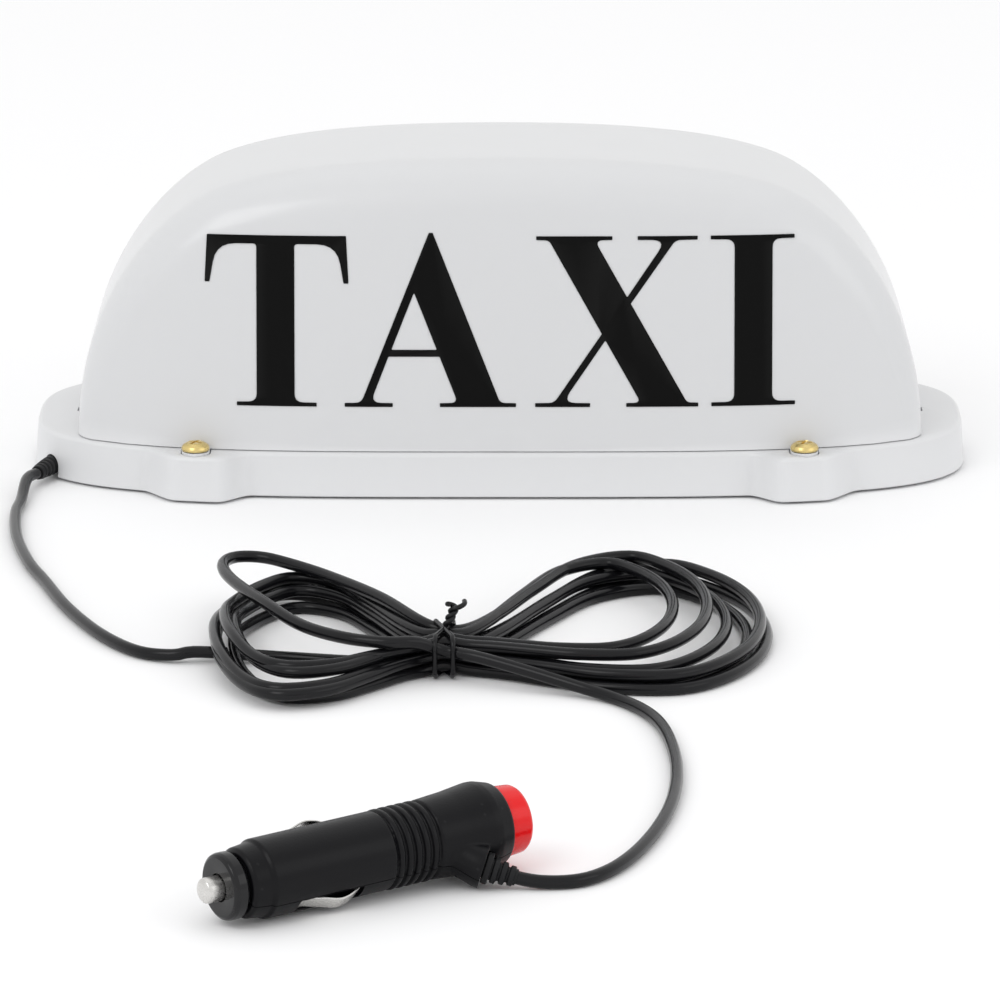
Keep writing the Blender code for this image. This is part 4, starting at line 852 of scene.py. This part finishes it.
def make_pads():
    """Rubber pads under the magnets, with a shallow round recess moulded into each."""
    profile = [(0, 0.3), (11.5, 0.3, 0.1), (12, 0, 0.1), (17.1, 0, 0.3), (PAD_RADIUS, 0.5, 0.3)]
    profile += [(PAD_RADIUS, PAD_THICKNESS, 0.2), (0, PAD_THICKNESS)]
    pad = turned(profile, "black_rubber", 72)
    settings = {
        "Count X": 2, "Count Y": 2, "Size X": PAD_SPAN_X, "Size Y": PAD_SPAN_Y, "Turn": 0.0, "Seed": 1,
    }
    four = run_tree(SETTING_OUT, pad, {**settings, "Material": FINISH["black_rubber"]})
    names = [f"magnet_pad_{a}_{b}" for a in ("front", "back") for b in ("left", "right")]
    piece("magnet_pads", four, "black_rubber", nodes=names)


# ---------------------------------------------------------------- plug's place

PLUG_TIP = Vector((-75.3, -476.8))
PLUG_HEADING = math.radians(34)
PLUG_ROLL = math.radians(28)
SHELL_START = 10.4
SHELL_RADIUS = 10.4
SHELL_STEP = 16.4
FLARE_AT = 83.0
FLARE_RADIUS = 12.0
COLLAR_END = 88.5
BRANCH_TILT = math.radians(42)
BRANCH_MOUTH = Vector((77.5, 0, -13.5))
RELIEF_LENGTH = 9.0
CONTACT_ROLL = math.radians(15)
CONTACT_AT = 25.0


def plug_place():
    """Plug frame in millimetres: +X from tip to switch, -Z towards the lead's branch."""
    incline = math.asin((FLARE_RADIUS - SHELL_RADIUS) / (FLARE_AT - SHELL_STEP))
    level = Vector((math.cos(PLUG_HEADING), math.sin(PLUG_HEADING), 0))
    along = level * math.cos(incline) + Vector((0, 0, math.sin(incline)))
    side = Vector((math.sin(PLUG_HEADING), -math.cos(PLUG_HEADING), 0))
    branch = side * math.cos(PLUG_ROLL) - side.cross(along) * math.sin(PLUG_ROLL)
    turn = Matrix((along, (-branch).cross(along), -branch)).transposed().to_4x4()
    height = SHELL_RADIUS * math.cos(incline) + 0.2 - SHELL_STEP * math.sin(incline)
    return Matrix.Translation((PLUG_TIP.x, PLUG_TIP.y, height)) @ turn


PLUG = plug_place()
LENGTHWAYS = Matrix.Rotation(math.pi / 2, 4, "Y")
BRANCH_WAY = Vector((math.cos(BRANCH_TILT), 0, -math.sin(BRANCH_TILT)))
BRANCH = Matrix.Translation(BRANCH_MOUTH) @ BRANCH_WAY.to_track_quat("Z", "Y").to_matrix().to_4x4()


def relief_point(reach, height=None):
    """Place on the lead, reach beyond the relief's end, level with the floor where height says."""
    place = PLUG @ (BRANCH_MOUTH + BRANCH_WAY * (RELIEF_LENGTH + reach))
    if height is not None:
        place.z = height
    return place


# ---------------------------------------------------------------- lead

LEAD_IN = [
    (-150.6, -66.0, 2.2), (-151.2, -82.0, 1.9), (-148.6, -110.0, 1.9), (-143.0, -138.0, 1.9),
    (-136.7, -159.0, 1.9), (-128.0, -188.0, 1.9), (-116.5, -216.0, 1.9), (-105.0, -233.5, 1.9),
    (-94.5, -239.0, 2.3), (-86.6, -238.5, 3.1), (-62.0, -240.0, 1.9), (-36.0, -246.0, 2.2),
]
# Where each pass lies at the tie, from the waist's middle
FRONT_OUTER, FRONT_INNER, BACK_INNER, BACK_OUTER, TAIL_SLOT = -4.9, -0.7, 3.5, 7.7, -9.1
TIED_HEIGHT = (3.1, 6.5, 9.9)
LAID_HEIGHT = (1.9, 5.5, 9.1)
# Each pass to the right and back: slot out, slot back, layer, reach, front bulge, back bulge
RIGHT_TURNS = [
    (FRONT_INNER, BACK_INNER, 0, 72.0, -22.0, 82.0), (FRONT_OUTER, BACK_OUTER, 0, 77.8, -26.5, 92.0),
    (FRONT_OUTER, BACK_OUTER, 1, 76.0, -25.0, 96.0), (FRONT_INNER, BACK_INNER, 1, 66.0, -20.0, 85.0),
    (FRONT_INNER, BACK_INNER, 2, 50.5, -10.0, 84.0), (FRONT_OUTER, BACK_OUTER, 2, 60.5, -16.0, 92.0),
]
# The left turns between them: reach, back bulge, front bulge
LEFT_TURNS = [
    (-77.0, 61.0, -35.0), (-82.0, 72.0, -41.0), (-82.5, 76.0, -38.5), (-76.5, 63.0, -31.0),
    (-79.5, 68.0, -28.0),
]
HAIRPIN = [
    (-23.0, 12.0, 11.2), (-35.0, 32.0, 12.7), (-50.0, 54.0, 12.7), (-62.0, 67.0, 13.0),
    (-71.0, 72.5, 13.6), (-79.0, 71.0, 14.0), (-82.0, 62.0, 14.0), (-78.5, 46.0, 13.8),
    (-68.0, 20.0, 13.2), (-57.0, 1.5, 12.9),
    (-44.0, -10.5, 12.8), (-32.0, -14.8, 12.7), (-24.0, -12.8, 12.2), (-16.0, TAIL_SLOT, 8.7),
]
TAIL = [
    (-6.0, -260.5, 7.9), (8.0, -266.5, 5.6), (21.0, -272.5, 3.2), (32.0, -280.0, 1.9),
    (39.5, -291.0, 1.9), (44.5, -305.0, 1.9), (47.2, -325.0, 1.9), (48.0, -348.5, 1.9),
    (46.2, -374.0, 1.9), (41.8, -398.0, 1.9), (35.6, -419.0, 1.9), (28.6, -434.0, 1.9),
]
LEAVING = [(0.09, 0.045), (0.2, 0.22), (0.34, 0.54), (0.5, 0.85)]
BEND = [-74, -50, -25, 0, 25, 50, 74]


def turn_points(out_slot, back_slot, reach, first, second, low, high):
    """One turn of the hank between two passes through the tie, rising from one layer to the next."""
    length = reach - WAIST.x
    middle, half = (first + second) / 2, (second - first) / 2
    points = [(WAIST.x + length * s, out_slot + (first - out_slot) * w) for s, w in LEAVING]
    for degrees in BEND:
        angle = math.radians(degrees)
        points.append((WAIST.x + length * (0.6 + 0.4 * math.cos(angle)), middle + half * math.sin(angle)))
    points += [(WAIST.x + length * s, back_slot + (second - back_slot) * w) for s, w in reversed(LEAVING)]
    last = len(points) - 1
    return [(x, y, low + (high - low) * k / last) for k, (x, y) in enumerate(points)]


# Where the left turns lie over the lead that comes in below them: x, then y from the waist's middle
CROSSING = (-80, 8.5)
CROSSING_SPREAD = (14, 22)
CROSSING_RISE = 3.5


def hank_points():
    """Places along the hank, from its first pass through the tie to its last."""
    points = []
    for index, (out_slot, back_slot, layer, reach, front, back) in enumerate(RIGHT_TURNS):
        laid, tied = LAID_HEIGHT[layer], TIED_HEIGHT[layer]
        points.append((WAIST.x, out_slot, tied))
        points += turn_points(out_slot, back_slot, reach, front, back, laid, laid)
        points.append((WAIST.x, back_slot, tied))
        if index < len(LEFT_TURNS):
            far, left_back, left_front = LEFT_TURNS[index]
            next_slot, next_layer = RIGHT_TURNS[index + 1][0], RIGHT_TURNS[index + 1][2]
            rise = (laid, LAID_HEIGHT[next_layer])
            points += turn_points(back_slot, next_slot, far, left_back, left_front, *rise)
    points += HAIRPIN
    placed = []
    for x, y, z in points:
        across = (x - CROSSING[0]) / CROSSING_SPREAD[0]
        deep = (y - CROSSING[1]) / CROSSING_SPREAD[1]
        over = math.exp(-(across ** 2) - deep ** 2)
        placed.append(Vector((x, y + WAIST.y, z + CROSSING_RISE * over)))
    return placed


def make_lead():
    """The whole lead as one line: out of the bush, through the tied hank, and into the plug."""
    points = [EXIT + EXIT_WAY * reach for reach in (8.0, 12.3, 20.0)]
    points += [Vector(p) for p in LEAD_IN] + hank_points() + [Vector(p) for p in TAIL]
    points += [Vector((21.0, -442.3, 1.9)), relief_point(8, FLOOR + 0.15), relief_point(0)]
    points.append(PLUG @ (BRANCH_MOUTH + BRANCH_WAY * -1))
    points += [PLUG @ Vector(p) for p in ((72.0, 0, -9.2), (67.0, 0, -7.4), (63.5, 0, -7.0))]
    route, length = smooth_route(points, 2.2)
    lead = round_wire("lead", route, CORD, "black_pvc")
    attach(lead, ROOT)
    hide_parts("cord_lead", "cord_hank", "cord_tail")
    return lead, length * MM


def make_tie():
    """Black twist tie: two wraps that cross on top, with short twisted ends."""
    section = rounded(
        [(-11.9, 0.8, 5), (10.5, 0.8, 5), (10.5, 12.7, 4.5), (-11.9, 12.7, 4.5)], 5, closed=True
    )
    section = section[2:] + section[:2]
    wires = []
    for lean in (-1, 1):
        loop = []
        for y, z in section:
            skew = lean * 2.6 * math.cos(math.pi * min(1, max(0, (y + 11.9) / 22.4)))
            lift = 0.75 * max(0, 1 - abs(y + 1) / 4) if lean > 0 and z > 10 else 0
            loop.append(Vector((WAIST.x + skew, WAIST.y + y, z + lift)))
        loop.append(loop[0])
        wires.append(smooth_route(loop, 0.7)[0])
    low, high = Vector((-15, -246, 13.6)), Vector((-12.5, -242.5, 19.0))
    for phase in (0, math.pi):
        tail = []
        for k in range(25):
            t = k / 24
            turn = phase + 2 * math.pi * 1.6 * t
            wide = 0.8 + 2.0 * max(0, t - 0.7) / 0.3
            spin = Vector((math.cos(turn), math.sin(turn), 0)) * wide
            tail.append(low.lerp(high, t) + spin)
        wires.append(smooth_route(tail, 0.5)[0])
    made = [evaluated(round_wire("tie_wire", wire, 1.5, "black_pvc")) for wire in wires]
    return piece("twist_tie", gathered(made), "black_pvc", nodes=["hank_tie"], place=Matrix(), crease=60)


# ---------------------------------------------------------------- plug


def lengthways(profile, slot, steps=64):
    """Piece turned about the plug's axis, in the plug's frame; points are (place, radius, corner)."""
    turned_up = turned([(p[1], p[0], *p[2:]) for p in profile], slot, steps)
    turned_up.transform(LENGTHWAYS)
    return turned_up


def on_branch(profile, slot, steps=40):
    """Piece turned about the branch's axis, from its mouth outwards; points are (radius, place, corner)."""
    made = turned(profile, slot, steps)
    made.transform(BRANCH)
    return made


RIB_START = 52.5
RIB_PITCH = 2.6
RIB_COUNT = 5
RIB_FLOOR = 9.6
RIB_RADIUS = 10.6


def shell_outside():
    """Outside of the two shells, as (place, radius, corner radius)."""
    outside = [(SHELL_START, 0), (SHELL_START, 8.3, 0.3), (11.2, 9.2, 0.6), (15.8, 9.7, 0.3)]
    outside.append((SHELL_STEP, SHELL_RADIUS, 0.5))
    for rib in range(RIB_COUNT):
        start = RIB_START + rib * RIB_PITCH
        before = SHELL_RADIUS if rib == 0 else RIB_FLOOR
        outside += [(start, before, 0.3), (start + 0.25, RIB_FLOOR, 0.3), (start + 0.75, RIB_FLOOR, 0.3)]
        outside += [(start + 1.0, RIB_RADIUS, 0.35), (start + 2.3, RIB_RADIUS, 0.35)]
    end = RIB_START + RIB_COUNT * RIB_PITCH
    outside += [(end, RIB_FLOOR, 0.3), (end + 0.7, RIB_FLOOR, 0.3), (end + 1.0, 10.5, 0.4), (75, 11.1, 12)]
    outside += [(82.6, FLARE_RADIUS, 0.7), (84.2, 11.95, 0.7), (87.9, 10.95, 0.5)]
    outside += [(COLLAR_END, 10.6, 0.3), (COLLAR_END, 0)]
    return outside


def branch_arm():
    """Curved arm from inside the shell to the mouth that the lead enters."""
    start = Vector((65.0, 0, -3.6))
    low = (BRANCH_MOUTH - start).length * 0.42
    loops = []
    for step in range(19):
        t = step / 18
        middle = bezier(start, start + Vector((low, 0, 0)), BRANCH_MOUTH - BRANCH_WAY * low, BRANCH_MOUTH, t)
        ahead = Vector((1, 0, 0)).lerp(BRANCH_WAY, t).normalized()
        up = ahead.cross(Vector((0, 1, 0)))
        radius = 6.4 - 1.6 * math.sin(math.pi * min(1, t * 1.3) / 2) + 1.0 * t * t
        turns = [2 * math.pi * i / 40 for i in range(40)]
        loops.append([middle + (up * math.cos(a) + Vector((0, 1, 0)) * math.sin(a)) * radius for a in turns])
    return loft(loops)


def contact_place(side):
    """Hinge end of a side contact: +X along the plug, +Z outwards."""
    out = Matrix.Rotation(CONTACT_ROLL + (math.pi if side > 0 else 0), 4, "X") @ Vector((0, 0, -1))
    turn = Matrix((Vector((1, 0, 0)), out.cross(Vector((1, 0, 0))), out)).transposed().to_4x4()
    return Matrix.Translation(Vector((CONTACT_AT, 0, 0)) + out * SHELL_RADIUS) @ turn


def moved(mesh, place):
    mesh.transform(place)
    return mesh


def smoothed_union(parts, voxel, passes, soft_near):
    """Parts made one skin with fine voxels, then smoothed, and more so where soft_near says."""
    carrier = carrier_of(gathered(parts))
    step = carrier.modifiers.new("skin", "REMESH")
    step.mode = "VOXEL"
    step.voxel_size = voxel
    skin = carrier_of(evaluated(carrier))
    near = skin.vertex_groups.new(name="near")
    near.add([v.index for v in skin.data.vertices if soft_near(v.co)], 1.0, "REPLACE")
    for group_name, count in (("", passes), ("near", passes * 9)):
        step = skin.modifiers.new("smooth", "SMOOTH")
        step.factor = 0.5
        step.iterations = count
        step.vertex_group = group_name
    return evaluated(skin)


def at_arm_root(spot):
    """Whether a point is on the shell's skin where the arm grows out of it."""
    on_skin = abs(math.hypot(spot.y, spot.z) - 10.3) < 1.7
    near_arm = math.hypot(spot.y, spot.z + 7.5) < 8.2
    return 66.4 < spot.x < 82 and -12.5 < spot.z < -2.5 and on_skin and near_arm


def make_shells():
    """The two half shells, ribbed and flared, with the seam between them and the arm below."""
    solid = smoothed_union([lengthways(shell_outside(), "black_abs", 96), branch_arm()], 0.3, 2, at_arm_root)
    cuts = [lengthways([(9, 0), (9, 7.3), (60, 7.3, 0.3), (60, 2.2), (69.7, 2.2), (69.7, 6.9),
                        (84, 6.9), (84, 10.1), (98, 10.1), (98, 0)], "black_abs", 64)]
    cuts.append(on_branch([(0, -5), (3.1, -5), (3.1, -0.15), (4.5, -0.15), (4.5, 7), (0, 7)], "black_abs"))
    for side in (-1, 1):
        slot = box((-1.2, -2.45, -2.35), (18.2, 2.45, 3.5))
        cuts.append(moved(slot, contact_place(side)))
    for cut in cuts:
        outward(cut)
    solid = boolean(solid, gathered(cuts), "DIFFERENCE")
    solid = boolean(solid, box((-5, -0.12, -40), (120, 0.12, 40)), "DIFFERENCE")
    nodes = ["plug_shell_lower", "plug_shell_upper"]
    return piece("plug_shells", solid, "black_abs", nodes=nodes, place=SMALL @ PLUG, crease=50)


def make_plug_front():
    """Glossy ring, the spring tip that it keeps in, and the two side contacts."""
    ring = [(5.2, 3.7, 0.2), (5.2, 7.7, 0.6), (5.7, 8.5, 0.8), (6.6, 8.8, 0.4), (8.7, 8.8, 0.4)]
    ring += [(9.4, 8.2, 0.4), (9.4, 6.9), (14.9, 6.9, 0.3), (14.9, 5.2), (6.7, 5.2), (6.7, 3.7)]
    loops = []
    for along, radius in rounded(ring, 4, closed=True):
        turns = [2 * math.pi * i / 72 for i in range(72)]
        loops.append([(along, radius * math.cos(a), radius * math.sin(a)) for a in turns])
    front = piece("socket_ring", loft(loops, closed=True), "gloss_black", "ring", ["plug_ring"], SMALL @ PLUG)
    tip = [(0, 0), (0, 1.4, 0.3), (0.25, 2.3, 0.5), (0.9, 3.2, 0.6), (1.8, 3.35, 0.5), (7.0, 3.35)]
    tip += [(7.0, 4.9), (8.4, 4.9, 0.3), (8.4, 2.3), (12, 2.3, 0.3), (12, 0)]
    made = [front]
    tip_mesh = lengthways(tip, "nickel", 48)
    made.append(piece("spring_tip", tip_mesh, "nickel", "tip", ["tip_contact"], SMALL @ PLUG))
    for name, side in (("front", -1), ("back", 1)):
        outline = smooth_route([(0, 0, -0.9), (2.2, 0, -0.7), (5.95, 0, 0.3), (10.2, 0, 1.5),
                                (13.6, 0, 1.05), (17, 0, -0.5)], 0.5)[0]
        loops = []
        for place in outline:
            half = 2.15 - 0.35 * max(0, (place.x - 13.5) / 3.5) ** 2
            low, high = place.z - 0.5, place.z
            loops.append([(place.x, y, z) for y, z in (
                (-half + 0.12, low), (half - 0.12, low), (half, low + 0.12), (half, high - 0.12),
                (half - 0.12, high), (-half + 0.12, high), (-half, high - 0.12), (-half, low + 0.12),
            )])
        place = SMALL @ PLUG @ contact_place(side)
        leaf = piece(f"contact_leaf_{name}", loft(loops), "nickel", f"contact_{name}",
                     [f"side_contact_{name}"], place)
        made.append(leaf)
    return made


def make_plug_back():
    """Dished red button and the ribbed relief that the lead leaves by."""
    button = [(80, 0), (80, 3, 0.2), (87.3, 3), (87.3, 9.7, 0.4), (94.6, 9.05, 0.9), (95.5, 8.5, 0.7)]
    button += [(95.35, 7.9, 0.6), (94.75, 6.5, 1.2), (94.7, 0)]
    push = piece("push_button", lengthways(button, "red_plastic"), "red_plastic", "button",
                 ["switch_button"], SMALL @ PLUG)
    relief = [(0, -4.6), (2.8, -4.6, 0.2), (2.8, 0.3), (4.2, 0.3, 0.3), (4.2, 1.9, 0.3)]
    for ring in range(3):
        low, radius = 1.8 + ring * 2.2, 3.4 - ring * 0.35
        relief += [(radius - 0.6, low + 0.1, 0.2), (radius - 0.6, low + 0.6, 0.2), (radius, low + 0.8, 0.3)]
        relief += [(radius, low + 2.0, 0.3)]
    relief += [(2.2, 8.4, 0.2), (2.15, 9, 0.2), (0, 9)]
    bush = piece("plug_bush", on_branch(relief, "black_rubber"), "black_rubber", nodes=["plug_relief"],
                 place=SMALL @ PLUG)
    return [push, bush]


COIL_START = 38.05
COIL_END = 59.25
COIL_TURNS = 7


def make_tip_coil():
    """Spring behind the fuse, with closed ends; on the real plug it shortens as the tip is pressed, but this
    mesh keeps one length.
    """
    route = []
    for step in range(COIL_TURNS * 20 + 1):
        share = step / (COIL_TURNS * 20)
        even = 0.5 - 0.5 * math.cos(math.pi * share)
        along = COIL_START + (COIL_END - COIL_START) * (0.6 * share + 0.4 * even)
        angle = 2 * math.pi * COIL_TURNS * share
        route.append(PLUG @ Vector((along, 3.4 * math.cos(angle), 3.4 * math.sin(angle))))
    wound = evaluated(round_wire("coil", route, 0.9, "steel"))
    coil = piece("tip_coil", wound, "steel", nodes=["tip_spring"], place=Matrix(), crease=60)
    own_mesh(coil)
    return coil


# ---------------------------------------------------------------- the whole object


def dress_inner_parts():
    """Finishes for the parts inside that keep the frame's own shape."""
    for subpart in frame["record"]["subparts"]:
        node = frame["nodes"][subpart["node"]]
        if not node.hide_render:
            for slot in node.material_slots:
                slot.material = FINISH[subpart["material_slot"]]


def make_object():
    lead, length = make_lead()
    make_base()
    make_grommet()
    make_dome()
    make_letters()
    make_screws()
    make_pads()
    shells = make_shells()
    plug = make_plug_front() + make_plug_back()
    tie = make_tie()
    coil = make_tip_coil()
    dress_inner_parts()


# ---------------------------------------------------------------- studio


def area_light(name, place, aim, size, power):
    data = bpy.data.lights.new(name, "AREA")
    data.shape = "RECTANGLE"
    data.size, data.size_y = size
    data.energy = power
    made = bpy.data.objects.new(name, data)
    made.location = place
    made.rotation_euler = (Vector(aim) - Vector(place)).to_track_quat("-Z", "Y").to_euler()
    bpy.context.scene.collection.objects.link(made)


def plain(name, colour, roughness):
    made = bpy.data.materials.new(name)
    made.use_nodes = True
    shader = made.node_tree.nodes["Principled BSDF"]
    shader.inputs["Base Color"].default_value = (*colour, 1)
    shader.inputs["Roughness"].default_value = roughness
    return made


def make_studio():
    data = bpy.data.meshes.new("floor")
    data.from_pydata([(-6, -6, 0), (6, -6, 0), (6, 6, 0), (-6, 6, 0)], [], [(0, 1, 2, 3)])
    floor = bpy.data.objects.new("floor", data)
    floor.data.materials.append(plain("floor_white", (0.95, 0.95, 0.955), 0.9))
    bpy.context.scene.collection.objects.link(floor)
    world = bpy.data.worlds.new("studio")
    world.use_nodes = True
    world.node_tree.nodes["Background"].inputs["Color"].default_value = (1, 1, 1, 1)
    world.node_tree.nodes["Background"].inputs["Strength"].default_value = 0.95
    bpy.context.scene.world = world
    bpy.context.scene.view_settings.view_transform = "Standard"
    area_light("key", (-0.9, -1.3, 1.3), (0, -0.1, 0.04), (0.9, 0.9), 6)
    area_light("fill", (1.4, -0.9, 0.8), (0, -0.2, 0.04), (1.2, 0.8), 2)
    area_light("top", (0.1, 0.3, 1.6), (0, -0.1, 0.0), (1.6, 1.2), 1)


def make_camera():
    data = bpy.data.cameras.new("camera")
    data.lens = 228
    data.sensor_width = 36
    made = bpy.data.objects.new("camera", data)
    made.location = (0, -1.990, 0.518)
    made.rotation_euler = (Vector((0, -0.058, 0)) - made.location).to_track_quat("-Z", "Y").to_euler()
    bpy.context.scene.collection.objects.link(made)
    bpy.context.scene.camera = made


make_camera()
make_object()
make_studio()
